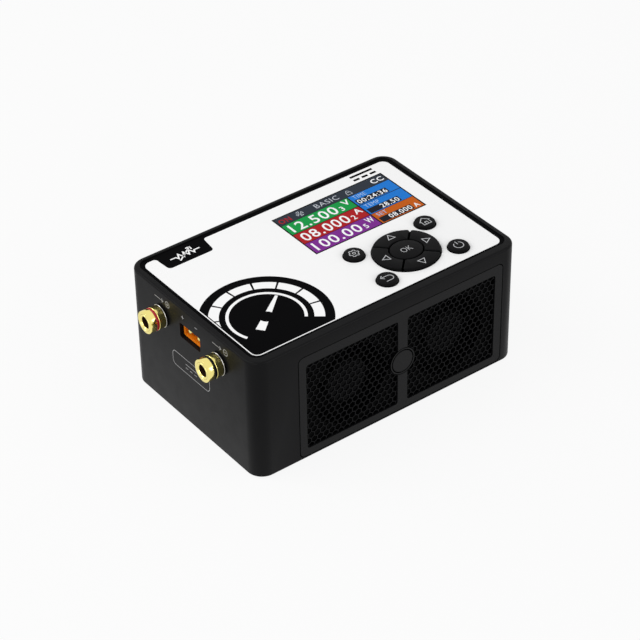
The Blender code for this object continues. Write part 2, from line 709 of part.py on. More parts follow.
def build_keys():
    """The nine keys: four round ones, the four arrows of the pad and the key in its middle."""
    for name, (x, y) in round_key_places().items():
        turned(f"key_{name}", key_profile(ROUND_KEY_RADIUS), "key_rubber", (x, y, 0))
    middle = turned("key_ok", key_profile(OK_RADIUS), "key_rubber", (KEYS_X, KEYS_Y, 0))
    stretch_oval(middle, PAD_STRETCH, STEM_RADIUS + SLIP)
    stems = stem_places()
    for name, angle in pad_key_angles().items():
        key = turned(f"key_{name}", pad_profile(), "key_rubber", (KEYS_X, KEYS_Y, 0), steps=PAD_STEPS)
        stretch_oval(key, PAD_STRETCH, STEM_RADIUS + SLIP)
        combine(key, pad_wedge(f"wedge_{name}", angle), "INTERSECT")
        x, y = stems[name]
        fuse(key, rod(f"stem_{name}", STEM_RADIUS, STEM_BOTTOM, FLANGE_TOP, at=(x, y, 0),
                      steps=SMALL_STEPS))


def build_switches():
    """A tact switch under each key, with a well that takes the key's stem."""
    half = SWITCH_SIDE / 2
    well = STEM_BOTTOM - KEY_TRAVEL - GAP
    for name, (x, y) in stem_places().items():
        body = block(f"switch_{name}", (-half, -half, SWITCH_BOTTOM), (half, half, SWITCH_TOP),
                     "black_plastic", at=(x, y, 0))
        hole = rod(f"well_{name}", STEM_RADIUS + GAP, well, SWITCH_TOP + OVERSHOOT,
                   at=(x, y, 0), steps=SMALL_STEPS)
        cut(body, hole)


def build_key_board():
    """The circuit board that carries the switches."""
    left, front, right, back = key_board_outline()
    block("key_board", (left, front, KEY_BOARD_BOTTOM), (right, back, KEY_BOARD_TOP), "board_green")


def grille_windows():
    """The two rounded windows of the grille, less the round badge place between them."""
    bm = bmesh.new()
    for side in (-1, 1):
        x = WINDOW_X + side * WINDOW_SHIFT
        half_x, half_y = WINDOW_LENGTH / 2, WINDOW_HEIGHT / 2
        add_block(bm, (x - half_x, WINDOW_Z - half_y, -2 * OVERSHOOT),
                  (x + half_x, WINDOW_Z + half_y, 2 * OVERSHOOT), GRILLE_CORNER / 4)
    windows = place("grille_windows", finish_mesh("grille_windows", bm), None, grille_centre(), FACING_FRONT)
    badge = rod("badge_place", BADGE_RADIUS, -3 * OVERSHOOT, 3 * OVERSHOOT,
                at=grille_centre(WINDOW_X, WINDOW_Z), turn=FACING_FRONT)
    cut(windows, badge)
    return windows


def grille_centre(x=0.0, z=0.0):
    """A place on the grille's middle plane, from its centre."""
    return (GRILLE_X + x, FRONT + GRILLE_THICKNESS / 2, GRILLE_Z + z)


def grille_cells():
    """Rows of six-sided cells over both windows, each row shifted by half a cell."""
    pitch = WINDOW_LENGTH / CELL_COLUMNS
    rise = pitch * math.sqrt(3) / 2
    radius = (pitch - CELL_BAR) / math.sqrt(3)
    rows = math.ceil(WINDOW_HEIGHT / rise / 2) + 1
    bm = bmesh.new()
    for side in (-1, 1):
        for row in range(-rows, rows + 1):
            for column in range(CELL_COLUMNS + 1):
                x = (column - CELL_COLUMNS / 2 + 0.5 * (row % 2)) * pitch
                y = WINDOW_Z + row * rise
                if abs(y - WINDOW_Z) - radius > WINDOW_HEIGHT / 2 - GAP:
                    continue
                if abs(x) - pitch / 2 > WINDOW_LENGTH / 2 - GAP:
                    continue
                made = bmesh.ops.create_cone(
                    bm, cap_ends=True, segments=6, radius1=radius, radius2=radius, depth=3 * OVERSHOOT)
                centre = (WINDOW_X + side * WINDOW_SHIFT + x, y, 0)
                bmesh.ops.translate(bm, vec=centre, verts=made["verts"])
    cells = place("grille_cells", finish_mesh("grille_cells", bm), None, grille_centre(), FACING_FRONT)
    combine(cells, grille_windows(), "INTERSECT")
    return cells


def build_grille():
    """The honeycomb fan grille, let into the front wall flush with the case."""
    x, y, z = GRILLE_LENGTH / 2, GRILLE_HEIGHT / 2, GRILLE_THICKNESS / 2
    grille = block("grille", (-x, -y, -z), (x, y, z), "grille_plastic", GRILLE_CORNER,
                   at=grille_centre(), turn=FACING_FRONT, steps=3)
    cut(grille, grille_cells())


def fan_frame(name, at):
    """A square fan frame with its round duct, struts, motor plate and bearing tube."""
    half, depth = FAN_SIDE / 2, FAN_DEPTH / 2
    frame = block(name, (-half, -half, -depth), (half, half, depth), "fan_plastic", FAN_CORNER,
                  at=at, turn=FACING_FRONT)
    bm = bmesh.new()
    add_rod(bm, FAN_BORE, -depth - OVERSHOOT, depth + OVERSHOOT, steps=ROUND_STEPS)
    for x, y in corners(FAN_HOLE_PITCH / 2, FAN_HOLE_PITCH / 2):
        add_rod(bm, FAN_HOLE_RADIUS, -depth - OVERSHOOT, depth + OVERSHOOT, x, y, steps=6)
    cut(frame, place(f"{name}_duct", finish_mesh(name, bm), None, at, FACING_FRONT))
    plate = -depth + FAN_STRUT_DEPTH
    reach, bar = FAN_BORE + FAN_CORNER / 4, FAN_STRUT_WIDTH / 2
    level = block(f"{name}_level_strut", (-reach, -bar, -depth + SLIP), (reach, bar, plate),
                  at=at, turn=FACING_FRONT)
    upright = block(f"{name}_upright_strut", (-bar, -reach, -depth + 2 * SLIP),
                    (bar, reach, plate - SLIP), at=at, turn=FACING_FRONT)
    tube = SHAFT_RADIUS + GAP + BEARING_WALL
    mount = turned(f"{name}_motor", [
        (0.0, bearing_end()),
        (tube, bearing_end()),
        (tube, plate + SLIP),
        (MOTOR_RADIUS, plate + SLIP),
        (MOTOR_RADIUS, -depth + SLIP / 2),
        (0.0, -depth + SLIP / 2),
    ], None, at, FACING_FRONT, 2 * SMALL_STEPS)
    fuse(frame, level, upright, mount)
    cut(frame, rod(f"{name}_bearing", SHAFT_RADIUS + GAP, -depth - OVERSHOOT, depth, at=at,
                   turn=FACING_FRONT, steps=SMALL_STEPS))


def bearing_end():
    """Height of the bearing tube's end, inside the hub."""
    return FAN_DEPTH / 2 - FAN_STRUT_DEPTH - 2 * HUB_WALL


def build_fan(side, x):
    """One fan: its frame, and its rotor turning about the fan's own axis."""
    at = (x, FAN_FRONT + FAN_DEPTH / 2, GRILLE_Z + WINDOW_Z)
    fan_frame(f"fan_frame_{side}", at)
    build_rotor(f"fan_rotor_{side}", at)


def blade_sheet(name, at):
    """All the blades as thin swept sheets, thickened to solids."""
    low, high = -FAN_DEPTH / 2 + FAN_STRUT_DEPTH + 2 * HUB_WALL, FAN_DEPTH / 2 - HUB_WALL
    inner = HUB_RADIUS - HUB_WALL / 2
    rings, spans = 2, 4
    bm = bmesh.new()
    for blade in range(BLADE_COUNT):
        start = 2 * math.pi * blade / BLADE_COUNT
        grid = []
        for i in range(rings):
            radius = inner + (BLADE_TIP - inner) * i / (rings - 1)
            lead = start + BLADE_LEAN * i / (rings - 1)
            row = []
            for j in range(spans + 1):
                part = j / spans
                angle = lead + BLADE_SWEEP * part
                height = low + (high - low) * part ** BLADE_CURVE
                row.append(bm.verts.new((radius * math.cos(angle), radius * math.sin(angle), height)))
            grid.append(row)
        for i in range(rings - 1):
            for j in range(spans):
                bm.faces.new((grid[i][j], grid[i + 1][j], grid[i + 1][j + 1], grid[i][j + 1]))
    blades = place(name, finish_mesh(name, bm), None, at, FACING_FRONT)
    thick = blades.modifiers.new("thickness", "SOLIDIFY")
    thick.thickness = BLADE_THICKNESS
    thick.offset = 0.0
    return blades


def build_rotor(name, at):
    """A hub cup with its shaft and blades."""
    top = FAN_DEPTH / 2 - 2 * GAP
    bottom = -FAN_DEPTH / 2 + FAN_STRUT_DEPTH + 2 * GAP
    inside = top - HUB_WALL
    shaft_end = -FAN_DEPTH / 2 + GAP
    rotor = turned(name, [
        (0.0, top),
        (HUB_RADIUS - 2 * SOFT_EDGE, top),
        (HUB_RADIUS, top - 2 * SOFT_EDGE),
        (HUB_RADIUS, bottom),
        (HUB_RADIUS - HUB_WALL, bottom),
        (HUB_RADIUS - HUB_WALL, inside),
        (SHAFT_RADIUS, inside),
        (SHAFT_RADIUS, shaft_end),
        (0.0, shaft_end),
    ], "fan_plastic", at, FACING_FRONT, ROUND_STEPS)
    fuse(rotor, blade_sheet(f"{name}_blades", at))


def build_post(side, y):
    """One binding post with its insulator, washer, screw cap, colour ring, nut and strap."""
    at = (LEFT, y, POST_Z)
    washer_low = INSULATOR_FLANGE + 2 * SLIP
    cap_low = washer_low + WASHER_THICKNESS + SLIP
    build_core(side, at, cap_low)
    build_cap(side, at, cap_low)
    hole = POST_CORE + SLIP
    turned(f"post_insulator_{side}", [
        (INSULATOR_RADIUS, SLIP + INSULATOR_FLANGE),
        (INSULATOR_RADIUS, SLIP),
        (hole + INSULATOR_SLEEVE - SLIP, SLIP),
        (hole + INSULATOR_SLEEVE - SLIP, -WALL),
        (hole, -WALL),
        (hole, SLIP + INSULATOR_FLANGE),
    ], "black_plastic", at, FACING_LEFT)
    turned(f"post_washer_{side}", [
        (WASHER_RADIUS, washer_low + WASHER_THICKNESS),
        (WASHER_RADIUS, washer_low),
        (hole, washer_low),
        (hole, washer_low + WASHER_THICKNESS),
    ], "nickel_plate", at, FACING_LEFT)
    strap_outer = -WALL - GAP
    nut_top = strap_outer - STRAP_THICKNESS - GAP
    nut = rod(f"post_nut_{side}", NUT_ACROSS_FLATS / math.sqrt(3), nut_top - NUT_THICKNESS, nut_top,
              "nickel_plate", at, FACING_LEFT, 6)
    cut(nut, rod(f"nut_bore_{side}", hole, -POST_TAIL, 0.0, at=at, turn=FACING_LEFT))
    build_strap(side, y, at, strap_outer)


def build_core(side, at, cap_low):
    """The post's tube with its plug bore, and the wire hole that the open cap uncovers."""
    core = turned(f"post_core_{side}", [
        (POST_BORE + CAP_TURNED_EDGE, POST_REACH),
        (POST_CORE, POST_REACH),
        (POST_CORE, -POST_TAIL),
        (0.0, -POST_TAIL),
        (0.0, POST_REACH - POST_BORE_DEPTH),
        (POST_BORE, POST_REACH - POST_BORE_DEPTH),
        (POST_BORE, POST_REACH - CAP_TURNED_EDGE),
    ], "gold_plate", at, FACING_LEFT)
    height = cap_low + WIRE_HOLE + GAP
    wire = rod(f"wire_hole_{side}", WIRE_HOLE, -2 * POST_CORE, 2 * POST_CORE,
               at=(at[0] - height, at[1], at[2]), steps=SMALL_STEPS)
    cut(core, wire)


def build_cap(side, at, cap_low):
    """The turned screw cap with its groove, and the colour ring that lies in the groove."""
    inner = POST_CORE + CAP_CLEARANCE
    groove = CAP_RADIUS - RING_WALL - CAP_CLEARANCE
    ring_high = POST_REACH - RING_FROM_FACE
    ring_low = ring_high - RING_WIDTH
    turned(f"post_cap_{side}", [
        (inner + CAP_TURNED_EDGE, POST_REACH),
        (CAP_RADIUS - CAP_TURNED_EDGE, POST_REACH),
        (CAP_RADIUS, POST_REACH - CAP_TURNED_EDGE),
        (CAP_RADIUS, ring_high + SLIP),
        (groove, ring_high + SLIP),
        (groove, ring_low - SLIP),
        (CAP_RADIUS, ring_low - SLIP),
        (CAP_RADIUS, cap_low),
        (inner, cap_low),
        (inner, POST_REACH - CAP_TURNED_EDGE),
    ], "gold_plate", at, FACING_LEFT)
    colour = "red_plastic" if side == "positive" else "black_plastic"
    turned(f"post_ring_{side}", [
        (CAP_RADIUS, ring_high),
        (CAP_RADIUS, ring_low),
        (CAP_RADIUS - RING_WALL, ring_low),
        (CAP_RADIUS - RING_WALL, ring_high),
    ], colour, at, FACING_LEFT)


def build_strap(side, y, at, outer):
    """Copper strap from the post down to the main board."""
    half = STRAP_WIDTH / 2
    wall_x = LEFT - outer
    foot_z = MAIN_BOARD_TOP + GAP
    strap = block(f"terminal_strap_{side}", (wall_x, y - half, foot_z),
                  (wall_x + STRAP_THICKNESS, y + half, POST_Z + half), "copper")
    foot = block(f"strap_foot_{side}", (wall_x, y - half, foot_z),
                 (wall_x + STRAP_FOOT, y + half, foot_z + STRAP_THICKNESS))
    fuse(strap, foot)
    cut(strap, rod(f"strap_hole_{side}", POST_CORE + 2 * GAP, -2 * WALL, 0.0, at=at, turn=FACING_LEFT,
                   steps=SMALL_STEPS))


def build_sense_connector():
    """The small two-pin connector set back in its opening, with its contacts."""
    front = LEFT + SENSE_RECESS
    back = front + SENSE_DEPTH
    half_y, half_z = SENSE_OPENING_WIDTH / 2 - GAP, SENSE_OPENING_HEIGHT / 2 - GAP
    at = (0, 0, SENSE_Z)
    body = block("sense_connector", (front, -half_y, -half_z), (back, half_y, half_z),
                 "orange_plastic", 2 * GAP, "x", at)
    flange_x = LEFT + WALL + GAP
    flange = block("sense_flange", (flange_x, -half_y - SENSE_FLANGE, -half_z - SENSE_FLANGE),
                   (flange_x + SENSE_FLANGE_THICKNESS, half_y + SENSE_FLANGE, half_z + SENSE_FLANGE),
                   radius=2 * GAP, along="x", at=at)
    inner_y, inner_z = half_y - SENSE_WALL, half_z - SENSE_WALL
    hollow = block("sense_hollow", (front - OVERSHOOT, -inner_y, -inner_z),
                   (front + SENSE_SOCKET, inner_y, inner_z), radius=GAP, along="x", at=at)
    fuse(body, flange)
    cut(body, hollow)
    for side, y in (("positive", CONTACT_PITCH / 2), ("negative", -CONTACT_PITCH / 2)):
        place_at = (front, y, SENSE_Z)
        bore = rod(f"contact_bore_{side}", CONTACT_RADIUS + SLIP, -SENSE_DEPTH - OVERSHOOT, 0.0,
                   at=place_at, turn=FACING_LEFT, steps=SMALL_STEPS)
        cut(body, bore)
        turned(f"sense_contact_{side}", [
            (0.0, -GAP),
            (CONTACT_RADIUS - SOFT_EDGE, -GAP),
            (CONTACT_RADIUS, -GAP - SOFT_EDGE),
            (CONTACT_RADIUS, -SENSE_DEPTH - CONTACT_TAIL),
            (0.0, -SENSE_DEPTH - CONTACT_TAIL),
        ], "gold_plate", place_at, FACING_LEFT, SMALL_STEPS)


def build_usb_socket():
    """The supply socket's metal shell on the main board, with its tongue."""
    z = MAIN_BOARD_TOP + GAP + USB_HEIGHT / 2
    half_y, half_z = USB_WIDTH / 2, USB_HEIGHT / 2
    front = RIGHT - USB_RECESS
    at = (0, USB_FROM_MIDDLE, z)
    shell = block("usb_socket", (front - USB_DEPTH, -half_y, -half_z), (front, half_y, half_z),
                  "steel", USB_HEIGHT * END_ROUND, "x", at)
    half_y, half_z = half_y - USB_WALL, half_z - USB_WALL
    hollow = block("usb_hollow", (front - USB_DEPTH + USB_WALL, -half_y, -half_z),
                   (front + OVERSHOOT, half_y, half_z), radius=2 * half_z * END_ROUND, along="x", at=at)
    half_y, half_z = USB_TONGUE_WIDTH / 2, USB_TONGUE_THICKNESS / 2
    tongue = block("usb_tongue", (front - USB_DEPTH + USB_WALL / 2, -half_y, -half_z),
                   (front - 2 * USB_WALL, half_y, half_z), at=at)
    cut(shell, hollow)
    fuse(shell, tongue)


def main_board_outline():
    """Left, front, right and back edges of the main board."""
    left = LEFT + WALL + MAIN_BOARD_EDGE_LEFT
    right = RIGHT - WALL - MAIN_BOARD_EDGE_RIGHT
    return left, BOARD_FRONT, right, BACK - WALL - MAIN_BOARD_FROM_BACK


def build_cover():
    """The bottom cover with its screw holes, foot places and board standoffs."""
    inset = WALL + GAP
    cover = block("bottom_cover", (LEFT + inset, FRONT + inset, CASE_BOTTOM),
                  (RIGHT - inset, BACK - inset, COVER_TOP), "case_plastic", CORNER_RADIUS - inset,
                  steps=CASE_CORNER_STEPS)
    left, front, right, back = main_board_outline()
    inset = 2 * STANDOFF_RADIUS
    posts = bmesh.new()
    for x in (left + inset, right - inset):
        for y in (front + inset, back - inset):
            add_rod(posts, STANDOFF_RADIUS, COVER_TOP - BOSS_LAP, COVER_TOP + STANDOFF_HEIGHT,
                    x, y, SMALL_STEPS)
    fuse(cover, place("cover_standoffs", finish_mesh("standoffs", posts), None, (0, 0, 0), UPRIGHT))
    heads, shafts, feet = bmesh.new(), bmesh.new(), bmesh.new()
    sink = SCREW_SINK + SCREW_HEAD_HEIGHT + GAP
    for x, y in corners(RIGHT - BOSS_INSET, BACK - BOSS_INSET):
        low = CASE_BOTTOM - OVERSHOOT
        add_rod(heads, SCREW_HEAD_RADIUS + GAP, low, CASE_BOTTOM + sink, x, y, SMALL_STEPS)
        add_rod(shafts, SCREW_RADIUS + GAP, low, COVER_TOP + OVERSHOOT, x, y, SMALL_STEPS)
    foot_roof = FOOT_THICKNESS + GAP
    for x, y in corners(RIGHT - FOOT_INSET_X, BACK - FOOT_INSET_Y):
        add_rod(feet, FOOT_RADIUS + SLIP, CASE_BOTTOM - OVERSHOOT, foot_roof, x, y, 2 * SMALL_STEPS)
    for name, tool in (("screw_sinks", heads), ("screw_ways", shafts), ("foot_places", feet)):
        cut(cover, place(name, finish_mesh(name, tool), None, (0, 0, 0), UPRIGHT))


def build_feet_and_screws():
    """Four rubber feet and the four screws that hold the cover."""
    for i, (x, y) in enumerate(corners(RIGHT - FOOT_INSET_X, BACK - FOOT_INSET_Y), 1):
        turned(f"foot_{i}", [
            (0.0, FOOT_THICKNESS),
            (FOOT_RADIUS, FOOT_THICKNESS),
            (FOOT_RADIUS, SOFT_EDGE),
            (FOOT_RADIUS - SOFT_EDGE, 0.0),
            (0.0, 0.0),
        ], "foot_rubber", (x, y, 0), steps=2 * SMALL_STEPS)
    low = CASE_BOTTOM + SCREW_SINK
    head = low + SCREW_HEAD_HEIGHT
    for i, (x, y) in enumerate(corners(RIGHT - BOSS_INSET, BACK - BOSS_INSET), 1):
        screw = turned(f"screw_{i}", [
            (0.0, low + SCREW_LENGTH),
            (SCREW_RADIUS, low + SCREW_LENGTH - SCREW_RADIUS),
            (SCREW_RADIUS, head),
            (SCREW_HEAD_RADIUS, head),
            (SCREW_HEAD_RADIUS, low + SOFT_EDGE),
            (SCREW_HEAD_RADIUS - SOFT_EDGE, low),
            (0.0, low),
        ], "steel", (x, y, 0), steps=SMALL_STEPS)
        cut(screw, rod(f"screw_drive_{i}", SCREW_HEAD_RADIUS / 2, low - OVERSHOOT,
                       low + SCREW_HEAD_HEIGHT / 2, at=(x, y, 0), steps=6))


def build_main_board():
    """The main circuit board on the cover's standoffs."""
    left, front, right, back = main_board_outline()
    block("main_board", (left, front, MAIN_BOARD_BOTTOM), (right, back, MAIN_BOARD_TOP), "board_green")


def sink_outline():
    """Left, front, right and back edges of the heat sink."""
    back = BACK - WALL - SINK_FROM_BACK
    return LEFT + SINK_FROM_LEFT, BOARD_FRONT, RIGHT - SINK_FROM_RIGHT, back


def build_heat_sink():
    """The finned heat sink on two legs, with its air channels running from the fans to the back."""
    left, front, right, back = sink_outline()
    sink = block("heat_sink", (left, front, MAIN_BOARD_TOP + GAP), (right, back, SINK_TOP), "aluminium")
    tunnel = block("sink_tunnel", (left + SINK_LEG, front - OVERSHOOT, MAIN_BOARD_TOP - OVERSHOOT),
                   (right - SINK_LEG, back + OVERSHOOT, SINK_UNDER))
    bm = bmesh.new()
    pitch = (right - left - FIN_THICKNESS) / (FIN_COUNT - 1)
    for i in range(FIN_COUNT - 1):
        start = left + FIN_THICKNESS + i * pitch
        add_block(bm, (start, front - OVERSHOOT, SINK_UNDER + SINK_BASE),
                  (start + pitch - FIN_THICKNESS, back + OVERSHOOT, SINK_TOP + OVERSHOOT))
    channels = place("sink_channels", finish_mesh("sink_channels", bm), None, (0, 0, 0), UPRIGHT)
    cut(sink, tunnel, channels)


def build_transistors():
    """The two power transistors clamped flat under the heat sink."""
    left, front, right, back = sink_outline()
    top = SINK_UNDER - GAP
    bottom = top - TRANSISTOR_THICKNESS
    half = TRANSISTOR_WIDTH / 2
    for name, side in (("left", -1), ("right", 1)):
        x = (left + right) / 2 + side * TRANSISTOR_FROM_MIDDLE
        y = front + LEAD_REACH + SINK_LEG
        body = block(f"transistor_{name}", (x - half, y, bottom + GAP),
                     (x + half, y + TRANSISTOR_LENGTH, top), "black_plastic")
        leads, feet = bmesh.new(), bmesh.new()
        level = bottom + TRANSISTOR_THICKNESS / 2
        for i in range(LEAD_COUNT):
            lead_x = x + (i - (LEAD_COUNT - 1) / 2) * LEAD_PITCH
            low_x, high_x = lead_x - LEAD_WIDTH / 2, lead_x + LEAD_WIDTH / 2
            add_block(leads, (low_x, y - LEAD_REACH, level), (high_x, y + BOSS_LAP, level + LEAD_THICKNESS))
            add_block(feet, (low_x, y - LEAD_REACH - LEAD_THICKNESS / 2, bottom),
                      (high_x, y - LEAD_REACH + LEAD_THICKNESS / 2, level + LEAD_THICKNESS / 2))
        for part_name, tool in (("leads", leads), ("lead_feet", feet)):
            label = f"{part_name}_{name}"
            fuse(body, place(label, finish_mesh(label, tool), None, (0, 0, 0), UPRIGHT))


def main():
    """Builds every piece of the load."""
    clear_scene()
    build_housing()
    build_panel()
    build_display()
    build_keys()
    build_switches()
    build_key_board()
    build_grille()
    build_fan("left", GRILLE_X + WINDOW_X - WINDOW_SHIFT)
    build_fan("right", GRILLE_X + WINDOW_X + WINDOW_SHIFT)
    build_post("positive", POST_FROM_MIDDLE)
    build_post("negative", -POST_FROM_MIDDLE)
    build_sense_connector()
    build_usb_socket()
    build_cover()
    build_feet_and_screws()
    build_main_board()
    build_heat_sink()
    build_transistors()


main()
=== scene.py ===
"""Looks of the bench dc electronic load: finishes, printed artwork, fine mesh, light and camera.

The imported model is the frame. Sizes are in metres, in the frame's own axes: the binding posts are at
-X, the fan grille faces -Y, and the feet stand at Z = 0. Sizes on drawn faces are in millimetres where
a name says so.
"""

import logging
import math
from dataclasses import dataclass, field
from enum import Enum

import bmesh
import bpy
from mathutils import Matrix, Vector


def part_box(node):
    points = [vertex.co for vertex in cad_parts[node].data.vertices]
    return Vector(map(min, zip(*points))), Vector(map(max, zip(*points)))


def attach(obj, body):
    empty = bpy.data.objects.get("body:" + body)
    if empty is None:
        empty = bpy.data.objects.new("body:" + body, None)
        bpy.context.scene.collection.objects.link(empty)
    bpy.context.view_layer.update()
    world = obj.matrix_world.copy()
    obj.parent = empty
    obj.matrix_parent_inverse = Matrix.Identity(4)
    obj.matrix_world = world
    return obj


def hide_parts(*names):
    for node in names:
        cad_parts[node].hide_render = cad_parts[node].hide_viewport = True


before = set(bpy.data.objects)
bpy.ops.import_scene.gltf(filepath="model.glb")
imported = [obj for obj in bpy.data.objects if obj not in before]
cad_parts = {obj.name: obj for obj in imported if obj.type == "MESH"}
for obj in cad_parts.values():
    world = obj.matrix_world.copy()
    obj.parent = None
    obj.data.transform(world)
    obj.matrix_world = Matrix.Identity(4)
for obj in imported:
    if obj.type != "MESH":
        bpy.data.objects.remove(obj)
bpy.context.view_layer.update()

LOG = logging.getLogger("load")
MM = 0.001

Point = tuple[float, float]
Loop = list[Point]
Line = tuple[Loop, bool]
Box = tuple[float, float, float, float]

SIDES = ("left", "right")
POLES = ("positive", "negative")
RIGHT, BACK, UP = Vector((1, 0, 0)), Vector((0, 1, 0)), Vector((0, 0, 1))


# Colour and nodes

def linear(code: str, alpha: float = 1.0) -> tuple[float, float, float, float]:
    """Turns an sRGB hex colour, #RRGGBB, into linear red, green and blue, with an opacity."""
    parts = [int(code[i:i + 2], 16) / 255 for i in (1, 3, 5)]
    low = [part / 12.92 for part in parts]
    high = [((part + 0.055) / 1.055) ** 2.4 for part in parts]
    values = [a if part <= 0.04045 else b for part, a, b in zip(parts, low, high)]
    return (*values, alpha)


def add_node(tree: bpy.types.NodeTree, kind: str, sockets: dict | None = None, **settings) -> bpy.types.Node:
    """Adds one node with its settings, values and links.

    Args:
        tree: Node tree that takes the node.
        kind: Blender's type name of the node.
        sockets: Input name or number to a value, or to the output that feeds it.
        **settings: Properties of the node itself.

    Returns:
        The new node.
    """
    made = tree.nodes.new(kind)
    for key, value in settings.items():
        setattr(made, key, value)
    for key, value in (sockets or {}).items():
        if isinstance(value, bpy.types.NodeSocket):
            tree.links.new(value, made.inputs[key])
        else:
            made.inputs[key].default_value = value
    return made


def bare_tree(owner: bpy.types.Material | bpy.types.World) -> bpy.types.NodeTree:
    """The emptied node tree of a material or a world."""
    owner.use_nodes = True
    owner.node_tree.nodes.clear()
    return owner.node_tree


def link(name: str, data: bpy.types.ID) -> bpy.types.Object:
    """Adds an object with this data to the scene."""
    made = bpy.data.objects.new(name, data)
    bpy.context.scene.collection.objects.link(made)
    return made


@dataclass(frozen=True)
class Finish:
    """A plain surface: one colour with a fine mottle, and a fine relief.

    The relief and the mottle have real sizes, in millimetres.
    """

    name: str
    colour: str
    roughness: float
    metallic: float = 0.0
    grain_mm: float = 0.4
    relief_mm: float = 0.004
    mottle: float = 0.06
    gloss_spread: float = 0.06
    sheen: float = 0.0
    subsurface: float = 0.0
    specular: float = 0.5
    glow: float = 0.0
    gap_smooth: float = 0.1

    def shade(self, tree: bpy.types.NodeTree, where: bpy.types.NodeSocket) -> dict:
        """Colour, roughness and normal of the surface.

        Args:
            tree: The material's node tree.
            where: Object coordinates, in metres.

        Returns:
            Values and outputs for the shader's sockets.
        """
        broad = add_node(tree, "ShaderNodeTexNoise", {"Vector": where, "Scale": 1 / (12 * self.grain_mm * MM),
                                                      "Detail": 4.0, "Roughness": 0.6})
        fine = add_node(tree, "ShaderNodeTexNoise", {"Vector": where, "Scale": 1 / (self.grain_mm * MM),
                                                     "Detail": 2.0})
        dark = tuple(part * (1 - self.mottle) for part in linear(self.colour)[:3])
        light = tuple(min(1.0, part * (1 + self.mottle)) for part in linear(self.colour)[:3])
        tint = add_node(tree, "ShaderNodeMix", {0: broad.outputs["Fac"], 6: (*dark, 1.0), 7: (*light, 1.0)},
                        data_type="RGBA")
        rough = add_node(tree, "ShaderNodeMapRange", {
            "Value": broad.outputs["Fac"], "From Min": 0.3, "From Max": 0.7,
            "To Min": max(0.02, self.roughness - self.gloss_spread / 2),
            "To Max": self.roughness + self.gloss_spread / 2})
        relief = add_node(tree, "ShaderNodeBump", {
            "Height": fine.outputs["Fac"], "Distance": self.relief_mm * MM, "Strength": 1.0})
        return {"Base Color": tint.outputs[2], "Roughness": rough.outputs["Result"],
                "Normal": relief.outputs["Normal"]}

    def bricks(self, tree: bpy.types.NodeTree, where: bpy.types.NodeSocket, size_mm: tuple[float, float],
               gap_mm: float, gap_tone: float, **settings) -> bpy.types.Node:
        """A pattern of plain rectangles in this colour, with lighter or darker lines between them.

        Args:
            tree: The material's node tree.
            where: Object coordinates, in metres.
            size_mm: Length and height of a rectangle.
            gap_mm: Width of the lines.
            gap_tone: Their brightness as a share of the colour's.
            **settings: Properties of the pattern's node.

        Returns:
            The pattern's node.
        """
        line = tuple(gap_tone * part for part in linear(self.colour)[:3]) + (1.0,)
        return add_node(tree, "ShaderNodeTexBrick", {
            "Vector": where, "Scale": 1.0, "Mortar Size": gap_mm * MM, "Mortar Smooth": self.gap_smooth,
            "Brick Width": size_mm[0] * MM, "Row Height": size_mm[1] * MM, "Color1": linear(self.colour),
            "Color2": linear(self.colour), "Mortar": line}, **settings)

    def make(self) -> bpy.types.Material:
        """The material of this finish, made on first use.

        Returns:
            The material.
        """
        found = bpy.data.materials.get(self.name)
        if found is not None:
            return found
        made = bpy.data.materials.new(self.name)
        tree = bare_tree(made)
        where = add_node(tree, "ShaderNodeTexCoord").outputs["Object"]
        sockets = {"Metallic": self.metallic, "Sheen Weight": self.sheen, "Specular IOR Level": self.specular,
                   "Subsurface Weight": self.subsurface, "Subsurface Scale": 0.5 * MM,
                   "Emission Color": linear(self.colour), "Emission Strength": self.glow}
        sockets.update(self.shade(tree, where))
        shader = add_node(tree, "ShaderNodeBsdfPrincipled", sockets)
        add_node(tree, "ShaderNodeOutputMaterial", {"Surface": shader.outputs["BSDF"]})
        made.diffuse_color = linear(self.colour)
        return made


@dataclass(frozen=True)
class TurnedMetal(Finish):
    """Plated metal that came off a lathe: fine rings round the axis stretch the highlights across them."""

    groove_mm: float = 0.12

    def shade(self, tree: bpy.types.NodeTree, where: bpy.types.NodeSocket) -> dict:
        """The plain surface with lathe rings in its relief. Takes and returns what Finish.shade does."""
        plain = super().shade(tree, where)
        rings = add_node(tree, "ShaderNodeTexWave", {"Vector": where, "Scale": 0.314 / (self.groove_mm * MM),
                                                     "Distortion": 0.6, "Detail": 1.0},
                         wave_type="BANDS", bands_direction="X", wave_profile="SIN")
        relief = add_node(tree, "ShaderNodeBump", {
            "Height": rings.outputs["Fac"], "Distance": self.relief_mm * MM, "Strength": 0.5,
            "Normal": plain["Normal"]})
        plain["Normal"] = relief.outputs["Normal"]
        return plain


@dataclass(frozen=True)
class Picture(Finish):
    """One colour of the lit display: its dots show as a faint lattice."""

    dot_mm: float = 0.27
    gap_smooth: float = 0.2

    def shade(self, tree: bpy.types.NodeTree, where: bpy.types.NodeSocket) -> dict:
        """The lit colour with darker lines between the dots. Takes and returns what Finish.shade does."""
        plain = super().shade(tree, where)
        lattice = self.bricks(tree, where, (self.dot_mm, self.dot_mm), 0.12 * self.dot_mm, 0.72, offset=0.0)
        plain["Base Color"] = lattice.outputs["Color"]
        return plain


